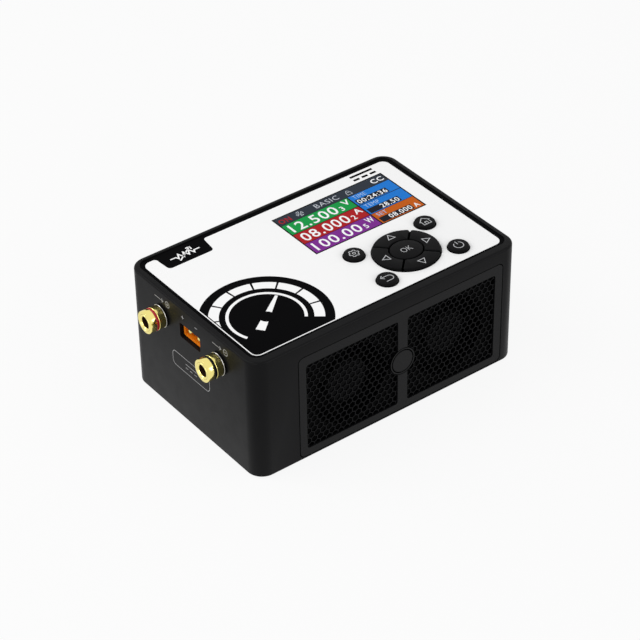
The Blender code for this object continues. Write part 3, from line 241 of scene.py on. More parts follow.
@dataclass(frozen=True)
class Board(Finish):
    """Fibreglass circuit board under solder mask: copper tracks show as lighter, raised lines."""

    track_mm: float = 1.6

    def shade(self, tree: bpy.types.NodeTree, where: bpy.types.NodeSocket) -> dict:
        """The mask with tracks in its colour and relief. Takes and returns what Finish.shade does."""
        plain = super().shade(tree, where)
        tracks = self.bricks(tree, where, (5 * self.track_mm, self.track_mm), 0.25 * self.track_mm, 1.8)
        relief = add_node(tree, "ShaderNodeBump", {
            "Height": tracks.outputs["Fac"], "Distance": 0.04 * MM, "Strength": 1.0,
            "Normal": plain["Normal"]})
        plain["Base Color"] = tracks.outputs["Color"]
        plain["Normal"] = relief.outputs["Normal"]
        return plain


# ABS moulded in a spark-eroded tool: satin black, with a grain of about 0.4 mm that softens reflections.
CASE_ABS = Finish("moulded_abs_case", "#101011", 0.40, grain_mm=0.35, relief_mm=0.003, mottle=0.08,
                  specular=0.065)
# The grille comes from a smoother tool, so that its thin bars catch crisper light.
GRILLE_ABS = Finish("moulded_abs_grille", "#131314", 0.42, grain_mm=0.25, relief_mm=0.003, specular=0.10)
# The mesh's colour is darker than the frame's round it: painted shade, for lying deeper and having walls with
# no draught.
MESH_ABS_PAINTED_SHADE = Finish("moulded_abs_mesh_painted_shade", "#08080A", 0.36, grain_mm=0.25, relief_mm=0.002, specular=0.065)
# Polycarbonate sheet printed on its back: the ink lies under a clear gloss, so that black looks deep.
SHEET_BLACK = Finish("printed_sheet_black", "#030304", 0.30, grain_mm=2.0, relief_mm=0.001, specular=0.012)
SHEET_WHITE = Finish("printed_sheet_white", "#F7F7F7", 0.38, grain_mm=2.0, relief_mm=0.001, mottle=0.008,
                     gloss_spread=0.02, specular=0.12)
# Chemically strengthened cover glass over a dark frame: nearly black, with sharp reflections.
COVER_GLASS = Finish("cover_glass", "#050608", 0.06, grain_mm=4.0, relief_mm=0.0, mottle=0.0,
                     gloss_spread=0.01, specular=0.08)
# Silicone rubber with a spray coat: black with a soft sheen, and a very fine grain.
KEY_SILICONE = Finish("coated_silicone_keys", "#0A0A0B", 0.46, grain_mm=0.25, relief_mm=0.003, specular=0.05)
FOOT_RUBBER = Finish("moulded_rubber_feet", "#131313", 0.78, grain_mm=0.5, relief_mm=0.01, sheen=0.1)
# Glass-filled PBT: duller than ABS, with a faint flow mottle.
FAN_PBT = Finish("moulded_pbt_fan", "#060606", 0.50, grain_mm=0.5, relief_mm=0.006, mottle=0.12,
                 specular=0.03)
FAN_LABEL = Finish("fan_hub_label", "#0E0E0F", 0.45, grain_mm=0.5, relief_mm=0.002, specular=0.05)
# Gold plate on turned brass: a warm mirror, drawn out a little by the lathe's rings.
GOLD_PLATE = TurnedMetal("gold_plated_brass", "#F0E18A", 0.11, 1.0, grain_mm=0.6, relief_mm=0.0003,
                         mottle=0.04, gloss_spread=0.04)
# Bright nickel plate: a cooler, greyer mirror.
NICKEL = TurnedMetal("nickel_plated_brass", "#B9B6AF", 0.18, 1.0, grain_mm=0.6, relief_mm=0.0004)
# Acetal rings turned from coloured rod: smooth and slightly waxy.
RED_ACETAL = Finish("turned_acetal_red", "#B5141F", 0.32, grain_mm=0.3, relief_mm=0.002, subsurface=0.05)
BLACK_ACETAL = Finish("turned_acetal_black", "#0A0A0A", 0.34, grain_mm=0.3, relief_mm=0.002, specular=0.12)
# Unfilled nylon: strong orange that lets a little light in, so that its edges glow.
ORANGE_NYLON = Finish("moulded_nylon_orange", "#E67C06", 0.38, grain_mm=0.4, relief_mm=0.003, subsurface=0.15)
SOLDER_MASK = Board("solder_mask_green", "#123F26", 0.40, grain_mm=0.5, relief_mm=0.003)
# Extruded aluminium: bright grey, with a fine drawn grain.
EXTRUDED = Finish("extruded_aluminium", "#C4C6C8", 0.34, 1.0, grain_mm=0.3, relief_mm=0.004)
# Zinc-plated steel: cool grey with small cloudy crystals.
ZINC_STEEL = Finish("zinc_plated_steel", "#8F9194", 0.32, 1.0, grain_mm=0.5, relief_mm=0.003, mottle=0.15)
COPPER = Finish("rolled_copper", "#C9825B", 0.30, 1.0, grain_mm=0.4, relief_mm=0.003)
# Pad-printed ink stands a hair above the plastic and is matt.
KEY_INK = Finish("pad_print_grey", "#B9BABC", 0.55, grain_mm=0.3, relief_mm=0.002, mottle=0.04)
LABEL_INK = Finish("pad_print_white", "#9A9A9A", 0.55, grain_mm=0.3, relief_mm=0.002, mottle=0.04)
# The bore's dark brown is painted shade of the deep hole in the gold-plated post.
BORE_PAINTED_SHADE = Finish("bore_painted_shade", "#3A2312", 0.5, 0.6, grain_mm=0.4, relief_mm=0.006, mottle=0.2)


class Lit(Enum):
    """Colours of the lit display."""

    HEADER = "#2B323C"
    GREEN = "#0E9444"
    RED = "#A9181D"
    PURPLE = "#7A2A8C"
    BLUE = "#1B76CF"
    NAVY = "#14151F"
    ORANGE = "#C05A0C"
    WHITE = "#F4F5F7"
    SIGNAL = "#A51E28"
    PALE = "#A9C6E8"
    MIST = "#BFC4CC"

    def finish(self) -> Picture:
        """The display finish of this colour."""
        return Picture(f"display_{self.name.lower()}", self.value, 0.22, grain_mm=4.0, relief_mm=0.0,
                       mottle=0.0, gloss_spread=0.01, specular=0.05, glow=0.1)


# Outlines

def arc(centre: Point, radius: float, start: float, end: float, steps: int) -> Loop:
    """Points along an arc between two angles in degrees, both ends included."""
    turns = [math.radians(start + (end - start) * i / steps) for i in range(steps + 1)]
    return [(centre[0] + radius * math.cos(a), centre[1] + radius * math.sin(a)) for a in turns]


def oval(centre: Point, across: float, deep: float, steps: int) -> Loop:
    """Points round an ellipse of the given half sizes."""
    turns = [2 * math.pi * i / steps for i in range(steps)]
    return [(centre[0] + across * math.cos(a), centre[1] + deep * math.sin(a)) for a in turns]


def metres(points: Loop) -> Loop:
    """The same points, from millimetres."""
    return [(u * MM, v * MM) for u, v in points]


def rectangle(low: Point, high: Point) -> Loop:
    """The four corners of a rectangle, counterclockwise."""
    return [low, (high[0], low[1]), high, (low[0], high[1])]


def soften(points: Loop, radii: list[float], steps: int = 6) -> Loop:
    """Rounds each corner of a closed outline.

    Args:
        points: The corners.
        radii: Rounding radius of each corner, 0 for a sharp one.
        steps: Spans in each rounding.

    Returns:
        The rounded outline.
    """
    out: Loop = []
    for i, point in enumerate(points):
        radius = radii[i]
        if radius <= 0:
            out.append(point)
            continue
        corner = Vector(point)
        back = (Vector(points[i - 1]) - corner).normalized()
        ahead = (Vector(points[(i + 1) % len(points)]) - corner).normalized()
        half = math.acos(max(-1.0, min(1.0, back.dot(ahead)))) / 2
        middle = corner + (back + ahead).normalized() * (radius / math.sin(half))
        first = corner + back * (radius / math.tan(half)) - middle
        last = corner + ahead * (radius / math.tan(half)) - middle
        start = math.atan2(first.y, first.x)
        sweep = math.atan2(first.x * last.y - first.y * last.x, first.dot(last))
        for k in range(steps + 1):
            turn = start + sweep * k / steps
            out.append((middle.x + radius * math.cos(turn), middle.y + radius * math.sin(turn)))
    return out


def rounded(low: Point, high: Point, radius: float, steps: int = 6) -> Loop:
    """A rectangle with all its corners rounded."""
    return soften(rectangle(low, high), [radius] * 4, steps)


def clip(points: Loop, normal: Point, limit: float) -> Loop:
    """Keeps the part of a convex outline where the point's product with a normal is below a limit.

    Args:
        points: The outline.
        normal: Direction that is cut off.
        limit: Distance along it that stays.

    Returns:
        The outline that is left, empty if nothing is.
    """
    out: Loop = []
    for a, b in zip(points, points[1:] + points[:1]):
        side_a = a[0] * normal[0] + a[1] * normal[1] - limit
        side_b = b[0] * normal[0] + b[1] * normal[1] - limit
        if side_a <= 0:
            out.append(a)
        if side_a * side_b < 0:
            part = side_a / (side_a - side_b)
            out.append((a[0] + (b[0] - a[0]) * part, a[1] + (b[1] - a[1]) * part))
    return out


def ribbon(points: Loop, width: float, closed: bool = False) -> list[Loop]:
    """A line of even width along points, as mitred quads that don't overlap.

    Args:
        points: The line's middle.
        width: Its width.
        closed: Whether it returns to its start.

    Returns:
        One quad for each span.
    """
    count = len(points)
    left, right = [], []
    for i in range(count):
        here = Vector(points[i])
        before = here - Vector(points[i - 1]) if closed or i > 0 else Vector(points[1]) - here
        after = Vector(points[(i + 1) % count]) - here if closed or i < count - 1 else before
        before, after = before.normalized(), after.normalized()
        tangent = (before + after).normalized()
        across = Vector((-tangent.y, tangent.x))
        reach = width / 2 / max(0.35, abs(across.dot(Vector((-before.y, before.x)))))
        left.append(tuple(here + across * reach))
        right.append(tuple(here - across * reach))
    spans = count if closed else count - 1
    return [[right[i], right[(i + 1) % count], left[(i + 1) % count], left[i]] for i in range(spans)]


# Mesh building

def middle(node: str) -> Vector:
    """Middle of a CAD node's box."""
    low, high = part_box(node)
    return (low + high) / 2


@dataclass(frozen=True)
class Face:
    """A flat drawing plane: its origin, and the directions that read as right and up."""

    origin: Vector
    right: Vector
    up: Vector

    def matrix(self, lift: float = 0.0) -> Matrix:
        """Turns drawing coordinates into the frame's, raised above the plane by a lift."""
        out = self.right.cross(self.up)
        turn = Matrix((self.right, self.up, out)).transposed().to_4x4()
        return Matrix.Translation(self.origin + out * lift) @ turn


@dataclass
class Shape:
    """A mesh under construction, in the frame's own coordinates."""

    bm: bmesh.types.BMesh = field(default_factory=bmesh.new)

    def polygons(self, loops: list[Loop], place: Matrix) -> "Shape":
        """Adds flat faces, given as counterclockwise outlines in a plane with this transform."""
        for loop in loops:
            if len(loop) > 2:
                self.bm.faces.new([self.bm.verts.new(place @ Vector((u, v, 0.0))) for u, v in loop])
        return self

    def lines(self, lines: list[Line], width: float, place: Matrix) -> "Shape":
        """Adds lines of even width, each given as its points and whether it returns to its start."""
        for points, closed in lines:
            self.polygons(ribbon(points, width, closed), place)
        return self

    def plate(self, loops: list[Loop], thickness: float, place: Matrix) -> "Shape":
        """Adds a plate whose inner outlines are holes. Its top lies in the plane.

        Args:
            loops: The outer outline and the holes.
            thickness: Depth below the plane, 0 for a bare face.
            place: Transform of the plane.

        Returns:
            This shape.
        """
        curve = bpy.data.curves.new("outline", "CURVE")
        curve.dimensions = "2D"
        curve.fill_mode = "BOTH" if thickness > 0 else "FRONT"
        curve.extrude = thickness / 2
        for loop in loops:
            spline = curve.splines.new("POLY")
            spline.points.add(len(loop) - 1)
            for point, (u, v) in zip(spline.points, loop):
                point.co = (u, v, 0.0, 1.0)
            spline.use_cyclic_u = True
        return self.curve(curve, place @ Matrix.Translation((0, 0, -thickness / 2)))

    def text(self, words: str, low: Point, high: Point, place: Matrix, weight: float = 0.0,
             spacing: float = 1.0) -> "Shape":
        """Adds flat lettering that fills a box.

        Args:
            words: What it says.
            low: The box's low corner.
            high: The box's high corner.
            place: Transform of the plane.
            weight: Extra boldness, as a share of the letters' height.
            spacing: Distance from letter to letter, as a share of the font's own.

        Returns:
            This shape.
        """
        lettering = bpy.data.curves.new("lettering", "FONT")
        lettering.body = words
        lettering.size = 1.0
        lettering.offset = weight
        lettering.space_character = spacing
        lettering.resolution_u = 3
        plain = Shape().curve(lettering, Matrix.Identity(4))
        left, right = (pick(v.co.x for v in plain.bm.verts) for pick in (min, max))
        bottom, top = (pick(v.co.y for v in plain.bm.verts) for pick in (min, max))
        wide, tall = (high[0] - low[0]) / (right - left), (high[1] - low[1]) / (top - bottom)
        fit = Matrix.Translation((*low, 0.0)) @ Matrix.Diagonal((wide, tall, 1.0, 1.0))
        plain.bm.transform(place @ fit @ Matrix.Translation((-left, -bottom, 0.0)))
        return self.take(plain.bm)

    def take(self, other: bmesh.types.BMesh) -> "Shape":
        """Adds another mesh under construction, which is used up."""
        mesh = bpy.data.meshes.new("taken")
        other.to_mesh(mesh)
        other.free()
        self.bm.from_mesh(mesh)
        bpy.data.meshes.remove(mesh)
        return self

    def curve(self, curve: bpy.types.Curve, place: Matrix) -> "Shape":
        """Adds a curve's filled mesh.

        Args:
            curve: The curve, which is used up.
            place: Transform of its mesh.

        Returns:
            This shape.
        """
        holder = link("holder", curve)
        graph = bpy.context.evaluated_depsgraph_get()
        graph.update()
        mesh = bpy.data.meshes.new_from_object(holder.evaluated_get(graph))
        mesh.transform(place)
        self.bm.from_mesh(mesh)
        bpy.data.objects.remove(holder)
        bpy.data.curves.remove(curve)
        bpy.data.meshes.remove(mesh)
        return self

    def turned(self, profile: list[Point], centre: Vector, axis: Vector, steps: int = 96) -> "Shape":
        """Turns a profile about an axis.

        Args:
            profile: Pairs of radius and distance along the axis. A closed ring repeats its first pair.
            centre: Where the axis starts.
            axis: Its direction.
            steps: Facets round it.

        Returns:
            This shape.
        """
        turn = axis.to_track_quat("Z", "Y").to_matrix().to_4x4()
        place = Matrix.Translation(centre) @ turn
        rings = []
        for radius, height in profile:
            if radius <= 0:
                rings.append([self.bm.verts.new(place @ Vector((0, 0, height)))] * steps)
                continue
            ring = oval((0.0, 0.0), radius, radius, steps)
            rings.append([self.bm.verts.new(place @ Vector((x, y, height))) for x, y in ring])
        for low, high in zip(rings, rings[1:]):
            for i in range(steps):
                corners = [low[i], low[(i + 1) % steps], high[(i + 1) % steps], high[i]]
                unique = list(dict.fromkeys(corners))
                if len(unique) > 2:
                    self.bm.faces.new(unique)
        return self

    def prism(self, loop: Loop, low: float, high: float, edge: float = 0.0, steps: int = 3) -> "Shape":
        """Adds an upright prism with its top edge rounded.

        Args:
            loop: Its outline, counterclockwise.
            low: Height of its bottom.
            high: Height of its top.
            edge: Rounding of the top edge.
            steps: Spans in the rounding.

        Returns:
            This shape.
        """
        piece = bmesh.new()
        bottom = piece.faces.new([piece.verts.new((x, y, low)) for x, y in loop])
        grown = bmesh.ops.extrude_face_region(piece, geom=[bottom])["geom"]
        top = [item for item in grown if isinstance(item, bmesh.types.BMVert)]
        bmesh.ops.translate(piece, vec=(0, 0, high - low), verts=top)
        if edge > 0:
            rim = [e for e in piece.edges if all(abs(vert.co.z - high) < 1e-7 for vert in e.verts)]
            bmesh.ops.bevel(piece, geom=rim, offset=edge, segments=steps, profile=0.5, affect="EDGES")
        bmesh.ops.recalc_face_normals(piece, faces=piece.faces)
        return self.take(piece)

    def block(self, low: Vector, high: Vector, radius: float = 0.0, along: int = 2,
              steps: int = 4) -> "Shape":
        """Adds a box with the edges along one axis rounded.

        Args:
            low: Lowest corner.
            high: Highest corner.
            radius: Rounding of those edges.
            along: Their axis, 0 to 2.
            steps: Spans in the rounding.

        Returns:
            This shape.
        """
        verts = bmesh.ops.create_cube(self.bm, size=1.0)["verts"]
        size = Vector(high) - Vector(low)
        bmesh.ops.scale(self.bm, vec=size, verts=verts)
        bmesh.ops.translate(self.bm, vec=(Vector(low) + Vector(high)) / 2, verts=verts)
        if radius > 0:
            edges = {edge for vert in verts for edge in vert.link_edges}
            chosen = [e for e in edges if abs(e.verts[0].co[along] - e.verts[1].co[along]) > size[along] / 2]
            bmesh.ops.bevel(self.bm, geom=chosen, offset=radius, segments=steps, profile=0.5, affect="EDGES")
        return self

    def loose(self, name: str) -> bpy.types.Object:
        """Ends the mesh as a bare object that is linked to the scene."""
        mesh = bpy.data.meshes.new(name)
        self.bm.to_mesh(mesh)
        self.bm.free()
        return link(name, mesh)

    def piece(self, name: str, finish: Finish, slot: str, body: str = "root",
              replaces: tuple[str, ...] = ()) -> bpy.types.Object:
        """Ends the mesh as a piece of the load, with what dress takes."""
        return dress(self.loose(name), finish, body, replaces)


def dress(made: bpy.types.Object, finish: Finish, body: str = "root",
          replaces: tuple[str, ...] = ()) -> bpy.types.Object:
    """Finishes an object as a piece of the load.

    Args:
        made: The object.
        finish: Its surface.
        body: The body that it rides on.
        replaces: CAD nodes that it stands for.

    Returns:
        The piece.
    """
    made.data.materials.clear()
    made.data.materials.append(finish.make())
    made.data.shade_smooth()
    made.data.set_sharp_from_angle(angle=math.radians(32))
    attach(made, body)
    if replaces:
        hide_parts(*replaces)
    LOG.info("%s rides on %s", made.name, body)
    return made


def carve(target: bpy.types.Object, *tools: bpy.types.Object) -> None:
    """Cuts tools out of an object and removes them."""
    for tool in tools:
        step = target.modifiers.new(tool.name, "BOOLEAN")
        step.object = tool
        step.solver = "EXACT"
    graph = bpy.context.evaluated_depsgraph_get()
    graph.update()
    mesh = bpy.data.meshes.new_from_object(target.evaluated_get(graph))
    target.modifiers.clear()
    old = target.data
    target.data = mesh
    bpy.data.meshes.remove(old)
    for tool in tools:
        bpy.data.objects.remove(tool)


# Sub-assemblies

@dataclass
class KeyLayout:
    """Where the keys are, read from the CAD nodes, and their shared sizes."""

    round_radius: float = 3.4 * MM
    pad_across: float = 11.2 * MM
    pad_deep: float = 10.55 * MM
    ok_across: float = 5.55 * MM
    ok_deep: float = 4.9 * MM
    gap: float = 0.45 * MM
    clearance: float = 0.35 * MM
    low: float = 42.0 * MM
    top: float = 45.66 * MM
    round_names: tuple[str, ...] = ("settings", "home", "return", "power")

    def centre(self, name: str) -> Point:
        """Middle of a round key or of the middle key, in the frame's X and Y."""
        return tuple(middle(f"key_{name}").xy)

    def holes(self) -> list[Loop]:
        """Outlines of the holes that the keys come through."""
        spare = self.clearance
        round_holes = [oval(self.centre(name), self.round_radius + spare, self.round_radius + spare, 64)
                       for name in self.round_names]
        return [*round_holes, oval(self.centre("ok"), self.pad_across + spare, self.pad_deep + spare, 128)]


@dataclass
class Case:
    """The moulded case, rebuilt with round corners and edges."""

    corner: float = 5.5 * MM
    wall: float = 2.4 * MM
    # Width of the rim round the top sheet: left, right, back, front
    rims_mm: Box = (2.2, 1.6, 1.5, 3.2)
    recess_corner: float = 3.4 * MM
    rim_edge: float = 0.2 * MM
    top_edge: float = 0.8 * MM
    recess_floor: float = 43.5 * MM
    deck_under: float = 41.9 * MM
    pocket_depth: float = 1.5 * MM
    slot_width: float = 2.4 * MM
    slot_pitch: float = 5.6 * MM
    slot_count: int = 13
    slot_top: float = 36.0 * MM
    slot_height: float = 24.0 * MM
    slot_middle: float = 8.2 * MM
    slot_corner_share: float = 0.48
    foot_edge: float = 0.4 * MM
    display_lip: float = 0.7 * MM
    display_corner: float = 0.6 * MM
    pocket_gap: float = 0.3 * MM
    pocket_corner: float = 2.0 * MM
    window_half: Point = (18.6 * MM, 17.0 * MM)
    window_corner: float = 0.9 * MM
    post_hole: float = 3.8 * MM
    sense_half: Point = (5.45 * MM, 2.7 * MM)
    sense_corner: float = 0.6 * MM
    usb_gap: float = 0.3 * MM
    usb_corner: float = 1.75 * MM

    def shell(self) -> bpy.types.Object:
        """The outside of the case, still solid."""
        low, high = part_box("housing")
        shape = Shape().block(low, high, self.corner, 2, 14)
        bm = shape.bm
        top = [e for e in bm.edges if all(vert.co.z > high.z - 1e-5 for vert in e.verts)]
        bmesh.ops.bevel(bm, geom=top, offset=self.top_edge, segments=5, profile=0.5, affect="EDGES")
        bottom = [e for e in bm.edges if all(vert.co.z < low.z + 1e-5 for vert in e.verts)]
        bmesh.ops.bevel(bm, geom=bottom, offset=self.foot_edge, segments=3, profile=0.5, affect="EDGES")
        return shape.loose("case_shell")

    def hollow(self) -> bpy.types.Object:
        """The inside and the recess for the top sheet."""
        low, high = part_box("housing")
        wall = self.wall
        shape = Shape()
        shape.block((low.x + wall, low.y + wall, low.z - MM), (high.x - wall, high.y - wall, self.deck_under),
                    self.corner - wall, 2, 10)
        inner_low, inner_high = self.recess()
        shape.block((*inner_low, self.recess_floor), (*inner_high, high.z + MM), self.recess_corner, 2, 12)
        return shape.loose("case_hollow")

    def recess(self) -> tuple[Point, Point]:
        """Low and high corner of the recess for the top sheet."""
        low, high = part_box("housing")
        left, right, back, front = (part * MM for part in self.rims_mm)
        return (low.x + left, low.y + front), (high.x - right, high.y - back)

    def rim_chamfer(self) -> bpy.types.Object:
        """What the small slope on the rim's inner edge takes away."""
        low, high = self.recess()
        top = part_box("housing")[1].z
        shape = Shape().block((*low, top - self.rim_edge), (*high, top + self.rim_edge),
                              self.recess_corner, 2, 12)
        centre = (Vector(low) + Vector(high)) / 2
        half = (Vector(high) - Vector(low)) / 2
        for vert in shape.bm.verts:
            if vert.co.z > top:
                vert.co.x += (vert.co.x - centre.x) / half.x * 2 * self.rim_edge
                vert.co.y += (vert.co.y - centre.y) / half.y * 2 * self.rim_edge
        return shape.loose("rim_chamfer")

    def deck_holes(self, keys: KeyLayout) -> bpy.types.Object:
        """Holes through the deck for the keys and the display."""
        shape = Shape()
        for loop in keys.holes():
            shape.prism(loop, self.deck_under - MM, self.recess_floor + MM)
        low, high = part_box("display_glass")
        lip = self.display_lip
        shape.block((low.x + lip, low.y + lip, self.deck_under - MM),
                    (high.x - lip, high.y - lip, self.recess_floor + MM), self.display_corner)
        return shape.loose("deck_holes")

    def pocket(self) -> bpy.types.Object:
        """The place in the front wall that takes the grille."""
        low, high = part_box("grille")
        gap, front = self.pocket_gap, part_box("housing")[0].y
        return Shape().block((low.x - gap, front - MM, low.z - gap),
                             (high.x + gap, front + self.pocket_depth, high.z + gap),
                             self.pocket_corner, 1, 6).loose("grille_pocket")

    def wall_openings(self) -> bpy.types.Object:
        """Fan windows, exhaust slots, and the holes in the two end walls."""
        low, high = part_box("housing")
        shape = Shape()
        through = self.wall + MM
        wide, tall = self.window_half
        for side in SIDES:
            at = middle(f"fan_frame_{side}")
            shape.block((at.x - wide, low.y - MM, at.z - tall), (at.x + wide, low.y + through, at.z + tall),
                        self.window_corner, 1)
        half = self.slot_width / 2
        for i in range(self.slot_count):
            x = self.slot_middle + (i - (self.slot_count - 1) / 2) * self.slot_pitch
            shape.block((x - half, high.y - through, self.slot_top - self.slot_height),
                        (x + half, high.y + MM, self.slot_top), self.slot_corner_share * self.slot_width, 1, 6)
        hole, reach = self.post_hole, through + MM
        for pole in POLES:
            at = middle(f"post_core_{pole}")
            start = Vector((low.x - MM, at.y, at.z))
            shape.turned([(0, 0), (hole, 0), (hole, reach), (0, reach)], start, RIGHT, 48)
        z = middle("sense_connector").z
        wide, tall = self.sense_half
        shape.block((low.x - MM, -wide, z - tall), (low.x + through, wide, z + tall), self.sense_corner, 0)
        usb_low, usb_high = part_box("usb_socket")
        gap = self.usb_gap
        shape.block((high.x - through, usb_low.y - gap, usb_low.z - gap),
                    (high.x + MM, usb_high.y + gap, usb_high.z + gap), self.usb_corner, 0, 8)
        return shape.loose("wall_openings")

    def build(self, keys: KeyLayout) -> None:
        """Makes the case.

        Args:
            keys: The keys' places.
        """
        shell = self.shell()
        carve(shell, self.hollow(), self.rim_chamfer(), self.deck_holes(keys), self.pocket(),
              self.wall_openings())
        shell.name = "case"
        dress(shell, CASE_ABS, replaces=("housing",))


@dataclass
class TopSheet:
    """The printed sheet on top: a white field in a black border, with a gauge on a black disc."""

    # From the case's edge to the white field: left, right, back, front
    margins_mm: Box = (3.55, 3.25, 3.2, 4.25)
    thickness: float = 0.8 * MM
    seam: float = 0.12 * MM
    field_corner_mm: float = 2.6
    lift: float = 0.02 * MM
    # The black tab's corners from the left at its mouth and foot, and its depth from the back
    tab_mm: tuple[float, ...] = (8.6, 9.1, 26.2, 27.05, 10.35)
    # The disc's middle from the left and the back, and its radius
    disc_mm: tuple[float, float, float] = (18.3, 49.3, 21.0)
    disc_inset_mm: float = 0.38
    tab_sign_mm: Point = (17.7, -6.4)
    corner_sign_mm: Point = (89.6, -5.9)
    sign_line: float = 0.5 * MM
    bar_line: float = 1.0 * MM
    disc_corner_mm: float = 2.2
    tab_rounding_mm: Point = (1.1, 1.4)
    window_gap: float = 0.25 * MM
    # Outer and inner radius, first and last angle in degrees
    scale_mm: Box = (17.9, 14.6, 180, -38)
    track_mm: Box = (12.6, 11.6, 205, -38)
    scale_spans: int = 96
    spans_a_mark: int = 12
    needle_angle: float = 38
    # Place along the aim and half width, at the tail and at the tip
    needle_mm: Box = (-7, 1.5, 11.2, 0.45)
    hub_mm: float = 2.6

    def face(self) -> Face:
        """The sheet's face, measured in metres from the case's back left corner, with up to the back."""
        low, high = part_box("housing")
        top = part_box("top_panel")[1].z
        return Face(Vector((low.x, high.y, top)), RIGHT, BACK)

    def field(self) -> Loop:
        """Outline of the white field, with the black tab cut into its back edge."""
        wide, deep = self.size_mm()
        left, right, back, front = self.margins_mm
        round_mm = self.field_corner_mm
        a, b, c, d, tab = self.tab_mm
        corners = [(left, deep - front), (left, back), (a, back), (b, tab), (c, tab), (d, back),
                   (wide - right, back), (wide - right, deep - front)]
        mouth, foot = self.tab_rounding_mm
        radii = [round_mm, round_mm, mouth, foot, foot, mouth, round_mm, round_mm]
        return metres(soften([(u, -v) for u, v in corners], radii, 8))

    def size_mm(self) -> Point:
        """Length and width of the case, in millimetres."""
        low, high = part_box("housing")
        return (high.x - low.x) / MM, (high.y - low.y) / MM

    def disc(self) -> Loop:
        """Outline of the black disc in millimetres, which the field's edges and corner cut off."""
        cx, cy, radius = self.disc_mm
        left = self.margins_mm[0] + self.disc_inset_mm
        front = self.size_mm()[1] - self.margins_mm[3] - self.disc_inset_mm
        left_meet = cy - math.sqrt(radius ** 2 - (cx - left) ** 2)
        front_meet = cx + math.sqrt(radius ** 2 - (front - cy) ** 2)
        start = math.degrees(math.atan2(cy - left_meet, left - cx))
        end = math.degrees(math.atan2(cy - front, front_meet - cx))
        bend = arc((cx, -cy), radius, end, start, 96)
        return soften(bend + [(left, -front)], [0.0] * len(bend) + [self.disc_corner_mm], 8)

    def build(self, keys: KeyLayout, case: Case) -> None:
        """Makes the sheet and prints it.

        Args:
            keys: The keys' places.
            case: The case, whose rim holds the sheet.
        """
        face = self.face()
        place = face.matrix(self.lift)
        glass_low, glass_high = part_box("display_glass")
        away, gap = face.origin, self.window_gap
        window = rectangle((glass_low.x - away.x - gap, glass_low.y - away.y - gap),
                           (glass_high.x - away.x + gap, glass_high.y - away.y + gap))
        holes = [[(x - away.x, y - away.y) for x, y in loop] for loop in keys.holes()]
        low, high = (Vector(corner) - away.xy for corner in case.recess())
        seam = Vector((self.seam, self.seam))
        outline = rounded(tuple(low + seam), tuple(high - seam), case.recess_corner - self.seam, 12)
        Shape().plate([outline, window, *holes], self.thickness, face.matrix()).piece(
            "sheet", SHEET_BLACK, "panel_white", replaces=("top_panel",))
        Shape().plate([self.field(), window, *holes], 0.0, place).piece(
            "sheet_white_field", SHEET_WHITE, "panel_white")
        self.gauge(place)
        self.signs(place)

    def signs(self, place: Matrix) -> None:
        """Prints the sign of an adjustable load on the tab, and the sign of direct current by the display.

        Args:
            place: Transform of the printing plane.
        """
        u, v = self.tab_sign_mm
        teeth = [(u - 3.0 + i, v + (1.1 if i % 2 else -1.1)) for i in range(7)]
        zigzag = [(u - 5.6, v), (u - 3.5, v), *teeth, (u + 3.5, v), (u + 5.6, v)]
        arrow = [(u - 3.2, v - 2.3), (u + 3.2, v + 2.3)]
        head = [(u + 1.7, v + 2.3), (u + 3.2, v + 2.3), (u + 3.2, v + 0.9)]
        Shape().lines([(metres(line), False) for line in (zigzag, arrow, head)], self.sign_line, place).piece(
            "sheet_load_sign", SHEET_WHITE, "panel_white")
        u, v = self.corner_sign_mm
        bars = [[(u - 4.6, v + 1.1), (u + 4.6, v + 1.1)]]
        bars += [[(u - 4.6 + 3.4 * i, v - 1.0), (u - 2.2 + 3.4 * i, v - 1.0)] for i in range(3)]
        Shape().lines([(metres(bar), False) for bar in bars], self.bar_line, self.layer(place, 1)).piece(
            "sheet_dc_sign", SHEET_BLACK, "panel_white")

    def layer(self, place: Matrix, count: int) -> Matrix:
        """The printing plane, raised by a number of ink layers."""
        return place @ Matrix.Translation((0, 0, count * self.lift))

    def gauge(self, place: Matrix) -> None:
        """Draws the black disc on the printing plane, and the gauge in white on it."""
        cx, cy, _ = self.disc_mm
        Shape().plate([metres(self.disc())], 0.0, self.layer(place, 1)).piece(
            "sheet_disc", SHEET_BLACK, "panel_white")
        quads = [*self.band(self.scale_mm, self.spans_a_mark), *self.band(self.track_mm, 0), self.needle()]
        edge = self.margins_mm[0] + 2 * self.disc_inset_mm
        front = self.margins_mm[3] + 2 * self.disc_inset_mm - self.size_mm()[1]
        kept = [metres(clip(clip(quad, (-1.0, 0.0), -edge), (0.0, -1.0), -front)) for quad in quads]
        shape = Shape().polygons(kept, self.layer(place, 2))
        bmesh.ops.recalc_face_normals(shape.bm, faces=shape.bm.faces)
        shape.piece("sheet_gauge", SHEET_WHITE, "panel_white")
        Shape().polygons([metres(oval((cx, -cy), self.hub_mm, self.hub_mm, 48))], self.layer(place, 3)).piece(
            "sheet_gauge_hub", SHEET_BLACK, "panel_white")

    def band(self, sizes_mm: Box, every: int) -> list[Loop]:
        """Quads of a curved band about the disc's middle, in millimetres.

        Args:
            sizes_mm: Its outer and inner radius, and its first and last angle in degrees.
            every: Spans from one mark's gap to the next, 0 for none.

        Returns:
            The quads.
        """
        cx, cy, _ = self.disc_mm
        outer, inner, start, end = sizes_mm
        far, near = (arc((cx, -cy), radius, start, end, self.scale_spans) for radius in (outer, inner))
        spans = [i for i in range(self.scale_spans) if not every or i == 0 or i % every]
        return [[near[i], near[i + 1], far[i + 1], far[i]] for i in spans]

